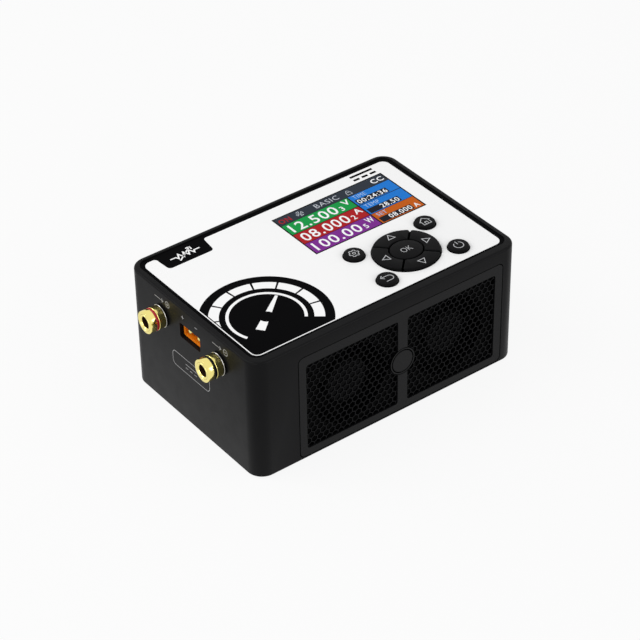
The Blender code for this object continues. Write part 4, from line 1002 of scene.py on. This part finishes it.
    def needle(self) -> Loop:
        """Outline of the gauge's needle, in millimetres."""
        aim = math.radians(self.needle_angle)
        along, across = Vector((math.cos(aim), math.sin(aim))), Vector((-math.sin(aim), math.cos(aim)))
        centre = Vector((self.disc_mm[0], -self.disc_mm[1]))
        tail, tail_half, tip, tip_half = self.needle_mm
        return [tuple(centre + along * far + across * half)
                for far, half in ((tail, -tail_half), (tip, -tip_half), (tip, tip_half), (tail, tail_half))]


@dataclass
class Display:
    """The lit picture on the display: coloured fields with figures."""

    lift: float = 0.02 * MM
    border: float = 0.25 * MM
    sign_line: float = 0.2 * MM
    spacing: float = 1.12

    def face(self) -> tuple[Face, float, float]:
        """The picture's face with its origin at the lower left, its width and its height."""
        low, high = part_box("display_glass")
        edge = self.border
        face = Face(Vector((low.x + edge, low.y + edge, high.z)), RIGHT, BACK)
        return face, high.x - low.x - 2 * edge, high.y - low.y - 2 * edge

    def cells(self) -> dict[Lit, list[Box]]:
        """Fields of each colour: left, top, right and bottom as shares of the picture, from the top left."""
        return {
            Lit.HEADER: [(0.0, 0.0, 1.0, 0.183)],
            Lit.GREEN: [(0.0, 0.190, 0.599, 0.447)],
            Lit.RED: [(0.0, 0.461, 0.599, 0.722)],
            Lit.PURPLE: [(0.0, 0.732, 0.599, 1.0)],
            Lit.BLUE: [(0.611, 0.190, 1.0, 0.447), (0.611, 0.461, 1.0, 0.722)],
            Lit.ORANGE: [(0.611, 0.732, 1.0, 1.0)],
        }

    def build(self) -> None:
        """Draws the picture."""
        face, wide, high = self.face()
        place = face.matrix(self.lift)

        def frame_of(cell: Box) -> Loop:
            """Corners of a field in metres."""
            left, top, right, bottom = cell
            return rectangle((left * wide, (1 - bottom) * high), (right * wide, (1 - top) * high))

        for colour, cells in self.cells().items():
            Shape().polygons([frame_of(cell) for cell in cells], place).piece(
                f"picture_{colour.name.lower()}", colour.finish(), "display_glass")
        upper = face.matrix(2 * self.lift)
        boxes = [(0.624, 0.313, 0.912, 0.434), (0.624, 0.588, 0.912, 0.709), (0.624, 0.862, 0.917, 0.985)]
        Shape().polygons([frame_of(cell) for cell in boxes], upper).piece(
            "picture_value_boxes", Lit.NAVY.finish(), "display_glass")
        self.figures(face.matrix(3 * self.lift), wide, high)

    def readings(self) -> list[tuple[str, float, Box]]:
        """White figures: the words, their weight and their box as shares of the picture."""
        rows = []
        for top, number, small, unit in ((0.222, "12.500", "3", "V"), (0.494, "08.000", "2", "A"),
                                         (0.768, "100.00", "5", "W")):
            rows.append((number, 0.012, (0.030, top, 0.452, top + 0.200)))
            rows.append((small, 0.01, (0.474, top + 0.088, 0.506, top + 0.192)))
            rows.append((unit, 0.015, (0.526, top - 0.012, 0.590, top + 0.112)))
        rows.append(("00:24:36", 0.01, (0.634, 0.325, 0.902, 0.424)))
        rows.append(("28.50", 0.01, (0.735, 0.600, 0.902, 0.699)))
        rows.append(("08.000", 0.01, (0.702, 0.874, 0.908, 0.973)))
        rows.append(("A", 0.015, (0.934, 0.876, 0.976, 0.973)))
        rows.append(("CC", 0.02, (0.872, 0.040, 0.982, 0.148)))
        return rows

    def figures(self, place: Matrix, wide: float, high: float) -> None:
        """Draws the figures, words and signs.

        Args:
            place: Transform of their plane.
            wide: The picture's width.
            high: Its height.
        """
        def write(shape: Shape, words: str, weight: float, box: Box) -> None:
            """Letters a box that is given in shares of the picture."""
            left, top, right, bottom = box
            low_corner, high_corner = (left * wide, (1 - bottom) * high), (right * wide, (1 - top) * high)
            shape.text(words, low_corner, high_corner, place, weight, self.spacing)

        white = Shape()
        for words, weight, box in self.readings():
            write(white, words, weight, box)
        white.piece("picture_figures", Lit.WHITE.finish(), "display_glass")
        red = Shape()
        write(red, "ON", 0.02, (0.014, 0.045, 0.118, 0.150))
        red.piece("picture_on", Lit.SIGNAL.finish(), "display_glass")
        pale = Shape()
        for top, words, right in ((0.210, "TIME", 0.752), (0.482, "TEMP", 0.768), (0.752, "SET", 0.728)):
            write(pale, words, 0.0, (0.640, top, right, top + 0.078))
        pale.piece("picture_labels", Lit.PALE.finish(), "display_glass")
        mist = Shape()
        write(mist, "BASIC", 0.0, (0.345, 0.040, 0.560, 0.140))
        mist.lines(self.signs(wide, high), self.sign_line, place).piece(
            "picture_header_signs", Lit.MIST.finish(), "display_glass")

    def signs(self, wide: float, high: float) -> list[Line]:
        """Lines of the two small signs in the header: a fan and a padlock."""
        hub = (0.205 * wide, 0.908 * high)
        blades = [([arc(hub, 0.35 * MM, a, a, 1)[0], *arc(hub, 1.3 * MM, a - 8, a + 38, 4)], True)
                  for a in range(0, 360, 90)]
        x, y = 0.655 * wide, 0.905 * high
        body = rectangle((x - 0.9 * MM, y - 1.2 * MM), (x + 0.9 * MM, y + 0.1 * MM))
        bow = [(x - 0.6 * MM, y + 0.1 * MM), *arc((x, y + 0.45 * MM), 0.6 * MM, 180, 0, 8),
               (x + 0.6 * MM, y + 0.1 * MM)]
        return [*blades, (body, True), (bow, False)]


@dataclass
class Keys:
    """The nine keys with round, softened edges, and the signs printed on them."""

    layout: KeyLayout
    edge: float = 0.3 * MM
    ink_lift: float = 0.02 * MM
    line: float = 0.26 * MM
    arrow_reach: float = 8.3 * MM
    arrow_size: float = 1.3 * MM
    rim_corner: float = 0.55 * MM
    ok_size: Point = (4.0 * MM, 2.3 * MM)
    ok_weight: float = -0.012
    arrow_tail: float = 0.8
    rim_share: float = 0.97
    turns: tuple[tuple[str, float], ...] = (("right", 0), ("up", 90), ("left", 180), ("down", 270))

    def sector(self, angle: float) -> Loop:
        """Outline of one arrow key.

        Args:
            angle: Its direction, in degrees.

        Returns:
            The outline, counterclockwise, about the pad's middle.
        """
        keys = self.layout
        inner_a, inner_d = keys.ok_across + keys.gap, keys.ok_deep + keys.gap
        half_gap = keys.gap / 2
        outer = [(keys.pad_across * math.cos(t), keys.pad_deep * math.sin(t))
                 for t in (math.radians(angle - 45 + 90 * i / 48) for i in range(49))]
        inner = [(inner_a * math.cos(t), inner_d * math.sin(t))
                 for t in (math.radians(angle + 45 - 90 * i / 32) for i in range(33))]
        loop = outer + inner
        for side in (-45, 45):
            turn = math.radians(angle + side + math.copysign(90, side))
            loop = clip(loop, (math.cos(turn), math.sin(turn)), -half_gap)
        return self.rim_corners(loop)

    def rim_corners(self, loop: Loop) -> Loop:
        """Rounds the two corners that an arrow key has at the pad's rim.

        Args:
            loop: The key's outline about the pad's middle.

        Returns:
            The outline with the two corners rounded.
        """
        keys = self.layout
        rim = [math.hypot(x / keys.pad_across, y / keys.pad_deep) > self.rim_share for x, y in loop]
        count = len(loop)
        corners = [i for i in range(count) if rim[i] and not (rim[i - 1] and rim[(i + 1) % count])]
        radii = [0.0] * count
        for i in corners:
            radii[i] = self.rim_corner
        near = [i for i in range(count) if rim[i] and i not in corners and any(
            (Vector(loop[i]) - Vector(loop[c])).length < 1.2 * self.rim_corner for c in corners)]
        kept = [i for i in range(count) if i not in near]
        return soften([loop[i] for i in kept], [radii[i] for i in kept], 6)

    def build(self) -> None:
        """Makes the keys and prints their signs."""
        keys = self.layout
        centre = keys.centre("ok")
        outlines = {name: oval(keys.centre(name), keys.round_radius, keys.round_radius, 72)
                    for name in keys.round_names}
        outlines["ok"] = oval(centre, keys.ok_across, keys.ok_deep, 96)
        for name, angle in self.turns:
            outlines[name] = [(x + centre[0], y + centre[1]) for x, y in self.sector(angle)]
        for name, outline in outlines.items():
            Shape().prism(outline, keys.low, keys.top, self.edge).piece(
                f"cap_{name}", KEY_SILICONE, "key_rubber", f"{name}_key", (f"key_{name}",))
        self.signs()

    def signs(self) -> None:
        """Prints a sign on each key."""
        keys = self.layout
        place = Matrix.Translation((0, 0, keys.top + self.ink_lift))
        x, y = keys.centre("ok")
        wide, tall = self.ok_size
        low, high = (x - wide / 2, y - tall / 2), (x + wide / 2, y + tall / 2)
        Shape().text("OK", low, high, place, self.ok_weight).piece("sign_ok", KEY_INK, "key_rubber", "ok_key")
        size, tail = self.arrow_size, self.arrow_tail
        signs: dict[str, list[Line]] = {}
        for name, angle in self.turns:
            turn = math.radians(angle)
            tip = Vector((math.cos(turn), math.sin(turn)))
            side = Vector((-tip.y, tip.x))
            at = Vector((x, y)) + tip * self.arrow_reach
            signs[name] = [([tuple(at + tip * size), tuple(at - tip * size * tail + side * size),
                             tuple(at - tip * size * tail - side * size)], True)]
        for name, lines in self.round_signs().items():
            x, y = keys.centre(name)
            signs[name] = [([(x + u, y + v) for u, v in metres(points)], closed) for points, closed in lines]
        for name, lines in signs.items():
            Shape().lines(lines, self.line, place).piece(f"sign_{name}", KEY_INK, "key_rubber", f"{name}_key")

    def round_signs(self) -> dict[str, list[Line]]:
        """Lines of the signs on the round keys, in millimetres about the key's middle."""
        cog = []
        for tooth in range(6):
            base = 60 * tooth
            for angle, radius in ((base - 18, 1.4), (base - 10, 1.75), (base + 10, 1.75), (base + 18, 1.4)):
                cog.append(arc((0, 0), radius, angle, angle, 1)[0])
        return {
            "settings": [(cog, True), (arc((0, 0), 0.5, 0, 330, 11), True)],
            "home": [([(-2.0, 0.0), (0.0, 1.9), (2.0, 0.0)], False),
                     ([(-1.45, 0.2), (-1.45, -1.7), (1.45, -1.7), (1.45, 0.2)], False),
                     ([(-0.45, -1.6), (-0.45, -0.4), (0.45, -0.4), (0.45, -1.6)], False)],
            "return": [([(-1.8, 0.95), (0.8, 0.95)] + arc((0.8, -0.25), 1.2, 90, -90, 10)[1:]
                        + [(-1.3, -1.45)], False),
                       ([(-0.95, 1.85), (-1.9, 0.95), (-0.95, 0.05)], False)],
            "power": [(arc((0, -0.1), 1.6, 122, 418, 24), False), ([(0.0, 0.3), (0.0, 2.0)], False)],
        }


@dataclass
class Grille:
    """The honeycomb grille over the fans, with its badge disc."""

    window_mm: Point = (35.75, 32.5)
    window_from_middle: float = 19.775 * MM
    corner: float = 1.8 * MM
    window_corner: float = 0.9 * MM
    pitch: float = 2.3 * MM
    rise: float = 1.98 * MM
    bar: float = 0.28 * MM
    badge: float = 5.05 * MM
    sheet_depth: float = 0.55 * MM
    sheet_back: float = 0.35 * MM
    sheet_overlap: float = 0.3 * MM
    cells_each_way: int = 9
    least_cell: float = 0.35

    def face(self) -> Face:
        """The grille's front face, with its origin between the windows."""
        left, right = (middle(f"fan_frame_{side}") for side in SIDES)
        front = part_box("grille")[0].y
        return Face(Vector(((left.x + right.x) / 2, front, (left.z + right.z) / 2)), RIGHT, UP)

    def windows(self) -> list[tuple[Point, Point]]:
        """Low and high corners of the two windows, about the face's origin."""
        wide, high = (size * MM for size in self.window_mm)
        centres = (-self.window_from_middle, self.window_from_middle)
        return [((x - wide / 2, -high / 2), (x + wide / 2, high / 2)) for x in centres]

    def hole_outline(self, low: Point, high: Point, side: int) -> Loop:
        """Outline of one window, with a bite where the badge disc stands into it.

        Args:
            low: The window's low corner.
            high: Its high corner.
            side: -1 for the left window and 1 for the right one.

        Returns:
            The outline.
        """
        loop = rounded(low, high, self.window_corner, 5)
        inner = high[0] if side < 0 else low[0]
        dip = math.sqrt(self.badge ** 2 - inner ** 2)
        first = math.degrees(math.atan2(dip, inner))
        if side < 0:
            half = len(loop) // 2
            return loop[:half] + arc((0, 0), self.badge, 360 - first, first, 24) + loop[half:]
        return loop + arc((0, 0), self.badge, first, -first, 24)

    def cells(self, low: Point, high: Point) -> list[Loop]:
        """Cell outlines of one window, cut at its edges and at the badge.

        Args:
            low: The window's low corner.
            high: Its high corner.

        Returns:
            The cells' outlines.
        """
        radius = (self.pitch - self.bar) / math.sqrt(3)
        centre = ((low[0] + high[0]) / 2, (low[1] + high[1]) / 2)
        steps = range(-self.cells_each_way, self.cells_each_way + 1)
        out = []
        for row in steps:
            for column in steps:
                x = centre[0] + (column + 0.5 * (row % 2)) * self.pitch
                y = centre[1] + row * self.rise
                loop = arc((x, y), radius, 90, 390, 5)
                inset = self.bar / 2
                for normal, limit in (((1, 0), high[0] - inset), ((-1, 0), -low[0] - inset),
                                      ((0, 1), high[1] - inset), ((0, -1), -low[1] - inset)):
                    loop = clip(loop, normal, limit)
                away = Vector((x, y))
                if away.length < self.badge + radius:
                    towards = -away.normalized()
                    loop = clip(loop, tuple(towards), -(self.badge + inset))
                if len(loop) > 2 and area(loop) > (self.least_cell * self.pitch) ** 2 / 2:
                    out.append(loop)
        return out

    def build(self) -> None:
        """Makes the grille's frame, its fine mesh and its badge disc."""
        face = self.face()
        low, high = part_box("grille")
        outer = rounded((low.x - face.origin.x, low.z - face.origin.z),
                        (high.x - face.origin.x, high.z - face.origin.z), self.corner, 8)
        windows = self.windows()
        holes = [self.hole_outline(a, b, side) for (a, b), side in zip(windows, (-1, 1))]
        Shape().plate([outer, *holes], high.y - low.y, face.matrix()).piece(
            "grille_frame", GRILLE_ABS, "grille_plastic", replaces=("grille",))
        spare = self.sheet_overlap
        for (a, b), name in zip(windows, SIDES):
            sheet = rounded((a[0] - spare, a[1] - spare), (b[0] + spare, b[1] + spare), self.window_corner, 5)
            # The mesh's darker finish is painted shade.
            Shape().plate([sheet, *self.cells(a, b)], self.sheet_depth, face.matrix(-self.sheet_back)).piece(
                f"grille_mesh_{name}", MESH_ABS_PAINTED_SHADE, "grille_plastic")
        self.badge_disc(face)

    def badge_disc(self, face: Face) -> None:
        """Makes the plain badge disc with turned grooves on the grille's front face."""
        r = self.badge
        deep = 0.25 * MM
        profile = [(0, -0.12 * MM), (0.62 * r, -0.05 * MM), (0.66 * r, -0.05 * MM), (0.68 * r, -deep),
                   (0.76 * r, -deep), (0.78 * r, 0), (0.86 * r, 0), (0.88 * r, -deep), (0.93 * r, -deep),
                   (0.95 * r, 0), (r, 0), (r, -1.0 * MM)]
        Shape().turned(profile, face.origin, -BACK, 96).piece(
            "grille_badge", SHEET_BLACK, "grille_plastic")


def area(loop: Loop) -> float:
    """Size of a polygon's area."""
    return abs(sum(a[0] * b[1] - a[1] * b[0] for a, b in zip(loop, loop[1:] + loop[:1]))) / 2


@dataclass
class Post:
    """One binding post, turned smooth: insulator, washer, core, screw cap and colour ring."""

    side: str
    ring_finish: Finish
    ring_slot: str
    cap_mm: float = 3.85
    bore_mm: float = 2.0
    core_mm: float = 2.8
    reach_mm: float = 6.4
    tail_mm: float = 0.95
    edge_mm: float = 0.22
    ring_mm: Point = (3.25, 4.05)
    hole_mm: float = 3.0
    bore_end_mm: float = -7.6
    core_end_mm: float = -12.0

    def profiles(self) -> dict[str, Loop]:
        """Each piece's radii and distances from the wall, in millimetres, outermost end first."""
        r, bore, core, top, edge = self.cap_mm, self.bore_mm, self.core_mm, self.reach_mm, self.edge_mm
        (low, high), tail, hole = self.ring_mm, self.tail_mm, self.hole_mm
        inner = core + 0.04
        return {
            "screw_cap": [
                (inner, top - 0.06), (inner + 0.06, top), (r - edge, top), (r - 0.3 * edge, top - 0.3 * edge),
                (r, top - edge), (r, high + 0.15), (r - 0.1, high + 0.05), (r - 0.5, high), (r - 0.5, low),
                (r - 0.1, low - 0.05), (r, low - 0.15), (r, tail + 0.15), (r - 0.12, tail), (inner, tail),
                (inner, top - 0.06)],
            "colour_ring": [
                (r - 0.42, high), (r - 0.12, high), (r, high - 0.12), (r, low + 0.12), (r - 0.12, low),
                (r - 0.42, low), (r - 0.42, high)],
            "post_tube": [
                (bore, top - 0.3), (bore + 0.28, top), (core - 0.05, top), (core, top - 0.05),
                (core, self.core_end_mm), (0, self.core_end_mm)],
            "post_bore": [(0, self.bore_end_mm), (bore, self.bore_end_mm), (bore, top - 0.3)],
            "washer": [
                (hole, 0.8), (3.85, 0.8), (3.95, 0.7), (3.95, 0.6), (3.85, 0.5), (hole, 0.5), (hole, 0.8)],
            "insulator": [
                (hole, 0.45), (3.75, 0.45), (3.8, 0.4), (3.8, 0.1), (3.6, 0.1), (3.6, -2.4), (hole, -2.4),
                (hole, 0.45)],
        }

    def build(self) -> None:
        """Turns the post's pieces."""
        at = middle(f"post_core_{self.side}")
        centre = Vector((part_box("housing")[0].x, at.y, at.z))
        looks = {
            "screw_cap": (GOLD_PLATE, "gold_plate", f"{self.side}_cap", "post_cap"),
            "colour_ring": (self.ring_finish, self.ring_slot, f"{self.side}_ring", "post_ring"),
            "post_tube": (GOLD_PLATE, "gold_plate", "root", "post_core"),
            # The bore's dark brown is painted shade.
            "post_bore": (BORE_PAINTED_SHADE, "gold_plate", "root", None),
            "washer": (NICKEL, "nickel_plate", "root", "post_washer"),
            "insulator": (BLACK_ACETAL, "black_plastic", "root", "post_insulator"),
        }
        for name, profile in self.profiles().items():
            finish, slot, body, node = looks[name]
            shape = Shape().turned(metres(profile), centre, -RIGHT)
            bmesh.ops.recalc_face_normals(shape.bm, faces=shape.bm.faces)
            shape.piece(f"{name}_{self.side}", finish, slot, body, (f"{node}_{self.side}",) if node else ())


@dataclass
class EndMarks:
    """Marks printed on the end face above the posts and the sense connector."""

    lift: float = 0.015 * MM
    line_mm: float = 0.23
    row_mm: float = -3.3
    ring_mm: float = 1.05
    posts_mm: Point = (-15.2, 15.8)
    contacts_mm: Point = (-3.6, 3.6)
    frame_mm: tuple[Point, Point] = ((-10.4, -24.8), (9.5, -19.3))
    frame_corner_mm: float = 1.7

    def face(self) -> Face:
        """The end face, with its origin at the top in the middle of the case."""
        low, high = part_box("housing")
        return Face(Vector((low.x, 0, high.z)), -BACK, UP)

    def build(self) -> None:
        """Prints the marks."""
        y = self.row_mm
        lines: list[Line] = []
        for x, positive in zip(self.posts_mm, (True, False)):
            lines.append((arc((x + 3.3, y), self.ring_mm, 0, 345, 23), True))
            lines += self.sign((x + 3.3, y), 0.55, positive)
            lines.append(([(x - 3.6, y), (x + 0.9, y)], False))
            lines.append(([(x + 0.2, y + 0.7), (x + 1.05, y), (x + 0.2, y - 0.7)], False))
        for x, positive in zip(self.contacts_mm, (True, False)):
            lines += self.sign((x, y), 0.7, positive)
        lines.append((rounded(*self.frame_mm, self.frame_corner_mm, 6), True))
        lines.append(([(-3.4, -21.3), (2.6, -21.3)], False))
        lines += [([(start, -22.7), (start + 1.4, -22.7)], False) for start in (-3.4, -1.1, 1.2)]
        Shape().lines([(metres(points), closed) for points, closed in lines], self.line_mm * MM,
                      self.face().matrix(self.lift)).piece("end_marks", LABEL_INK, "case_plastic")

    def sign(self, at: Point, half: float, positive: bool) -> list[Line]:
        """A plus or a minus sign, in millimetres. The plus's upright is two strokes that keep off the bar."""
        x, y = at
        bar = ([(x - half, y), (x + half, y)], False)
        strokes = [([(x, y + half), (x, y + 0.1)], False), ([(x, y - 0.1), (x, y - half)], False)]
        return [bar, *strokes] if positive else [bar]


@dataclass
class Fans:
    """Labels on the fans' hubs, which show through the mesh, and seals round the fans."""

    label: float = 7.2 * MM
    bore: float = 14.3 * MM
    seal_mm: Point = (36.8, 33.6)
    seal_front: float = 1.5 * MM
    seal_thickness: float = 0.5 * MM

    def seal(self, side: str) -> None:
        """Adds the foam seal round the left or the right fan."""
        at = middle(f"fan_frame_{side}")
        face = Face(Vector((at.x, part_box("grille")[0].y + self.seal_front, at.z)), RIGHT, UP)
        wide, tall = (part * MM / 2 for part in self.seal_mm)
        hole = oval((0.0, 0.0), self.bore, self.bore, 96)
        outline = rectangle((-wide, -tall), (wide, tall))
        Shape().plate([outline, hole], self.seal_thickness, face.matrix()).piece(
            f"fan_seal_{side}", FAN_PBT, "fan_plastic")

    def build(self) -> None:
        """Adds a label to each rotor and a seal round each fan."""
        r = self.label
        profile = [(0, 0.02 * MM), (r - 0.6 * MM, 0.02 * MM), (r - 0.5 * MM, 0.03 * MM), (r, 0.03 * MM),
                   (r, -0.02 * MM)]
        for side in SIDES:
            at = middle(f"fan_rotor_{side}")
            front = Vector((at.x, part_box(f"fan_rotor_{side}")[0].y, at.z))
            Shape().turned(profile, front, -BACK, 72).piece(
                f"hub_label_{side}", FAN_LABEL, "fan_plastic", f"{side}_rotor")
            self.seal(side)


# Finishes of the CAD nodes that stay
NODE_FINISHES: dict[str, Finish] = {
    "bottom_cover": CASE_ABS, "top_panel": SHEET_BLACK, "display_glass": COVER_GLASS,
    "display_module": ZINC_STEEL, "key_board": SOLDER_MASK, "main_board": SOLDER_MASK,
    "heat_sink": EXTRUDED, "transistor": BLACK_ACETAL, "fan_frame": FAN_PBT, "fan_rotor": FAN_PBT,
    "grille": GRILLE_ABS, "housing": CASE_ABS, "post_core": GOLD_PLATE, "post_cap": GOLD_PLATE,
    "post_insulator": BLACK_ACETAL, "post_washer": NICKEL, "post_nut": NICKEL,
    "post_ring_positive": RED_ACETAL, "post_ring_negative": BLACK_ACETAL, "terminal_strap": COPPER,
    "sense_connector": ORANGE_NYLON, "sense_contact": GOLD_PLATE, "usb_socket": ZINC_STEEL,
    "screw": ZINC_STEEL, "foot": FOOT_RUBBER, "key": KEY_SILICONE, "switch": BLACK_ACETAL,
}


def dress_nodes() -> None:
    """Gives every CAD node its finish: the longest matching name decides."""
    for name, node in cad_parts.items():
        match = max((key for key in NODE_FINISHES if name.startswith(key)), key=len)
        node.data.materials.clear()
        node.data.materials.append(NODE_FINISHES[match].make())
        LOG.info("%s takes %s", name, NODE_FINISHES[match].name)


def seen_white(tree: bpy.types.NodeTree) -> bpy.types.NodeSocket:
    """One for rays that should see a white surround: from the camera, off gloss and through glass."""
    path = add_node(tree, "ShaderNodeLightPath")
    glossy = add_node(tree, "ShaderNodeMath", {0: path.outputs["Is Camera Ray"],
                                               1: path.outputs["Is Glossy Ray"]}, operation="MAXIMUM")
    clear = add_node(tree, "ShaderNodeMath", {0: glossy.outputs[0],
                                              1: path.outputs["Is Transmission Ray"]}, operation="MAXIMUM")
    return clear.outputs[0]


@dataclass
class Studio:
    """Floor, lamps, world and camera."""

    lens: float = 133.98
    sensor: float = 36.0
    place: tuple[float, float, float] = (-0.364934, -0.491605, 0.479348)
    right: tuple[float, float, float] = (0.795476, -0.605814, -0.014362)
    down: tuple[float, float, float] = (-0.372737, -0.470469, -0.799828)
    ahead: tuple[float, float, float] = (0.477790, 0.641598, -0.600057)
    floor_half: float = 3.0
    floor_white: float = 0.9
    sky: float = 0.55
    aim_height: float = 0.02
    # Name, place, side in metres and watts of each lamp
    lamps: tuple[tuple[str, tuple[float, float, float], float, float], ...] = (
        ("key_lamp", (-0.5, 0.25, 0.75), 0.5, 2.8),
        ("fill_lamp", (-0.7, -0.35, 0.25), 0.5, 1.3),
        ("front_lamp", (0.35, -0.8, 0.45), 0.5, 2.2),
        ("edge_lamp", (-0.72, 0.77, 0.58), 0.4, 1.6))

    def camera(self) -> None:
        """Sets the camera that the photograph's straight edges give."""
        data = bpy.data.cameras.new("camera")
        data.lens = self.lens
        data.sensor_width = self.sensor
        data.clip_start = 0.01
        made = link("camera", data)
        up, behind = ([-part for part in way] for way in (self.down, self.ahead))
        turn = Matrix((self.right, up, behind)).transposed()
        made.matrix_world = Matrix.Translation(self.place) @ turn.to_4x4()
        bpy.context.scene.camera = made

    def lamp(self, name: str, at: tuple[float, float, float], size: float, watts: float) -> None:
        """Adds a square soft lamp at a place, with a side and a power, that points at the load."""
        data = bpy.data.lights.new(name, "AREA")
        data.size = size
        data.energy = watts
        made = link(name, data)
        made.location = at
        aim = Vector((0, 0, self.aim_height)) - Vector(at)
        made.rotation_euler = aim.to_track_quat("-Z", "Y").to_euler()

    def floor(self) -> None:
        """Lays a pale floor that shows nearly white and keeps the shadow."""
        half = self.floor_half
        made = Shape().polygons([rectangle((-half, -half), (half, half))], Matrix.Identity(4)).loose("floor")
        material = bpy.data.materials.new("floor_paper")
        tree = bare_tree(material)
        paper = add_node(tree, "ShaderNodeBsdfDiffuse", {"Color": linear("#D8D8D8")})
        white = add_node(tree, "ShaderNodeEmission", {"Color": (1.0, 1.0, 1.0, 1.0), "Strength": 1.0})
        share = add_node(tree, "ShaderNodeMath", {0: seen_white(tree), 1: self.floor_white},
                         operation="MULTIPLY")
        blend = add_node(tree, "ShaderNodeMixShader", {0: share.outputs[0], 1: paper.outputs[0],
                                                       2: white.outputs[0]})
        add_node(tree, "ShaderNodeOutputMaterial", {"Surface": blend.outputs[0]})
        made.data.materials.append(material)

    def world(self) -> None:
        """Sets a soft, even sky that shows white to the camera."""
        world = bpy.data.worlds.new("studio")
        bpy.context.scene.world = world
        tree = bare_tree(world)
        strength = add_node(tree, "ShaderNodeMapRange", {
            "Value": seen_white(tree), "To Min": self.sky, "To Max": 1.0})
        sky = add_node(tree, "ShaderNodeBackground", {"Color": (1.0, 1.0, 1.0, 1.0),
                                                      "Strength": strength.outputs["Result"]})
        add_node(tree, "ShaderNodeOutputWorld", {"Surface": sky.outputs[0]})

    def build(self) -> None:
        """Sets up the whole studio."""
        bpy.context.scene.view_settings.view_transform = "Standard"
        self.floor()
        self.world()
        for lamp in self.lamps:
            self.lamp(*lamp)
        self.camera()


def main() -> None:
    """Dresses the load and sets up the studio."""
    logging.basicConfig(level=logging.INFO, format="%(message)s")
    dress_nodes()
    keys = KeyLayout()
    case = Case()
    case.build(keys)
    TopSheet().build(keys, case)
    Display().build()
    Keys(keys).build()
    Grille().build()
    Fans().build()
    Post("positive", RED_ACETAL, "red_plastic").build()
    Post("negative", BLACK_ACETAL, "black_plastic").build()
    EndMarks().build()
    Studio().build()


if __name__ == "__main__":
    main()
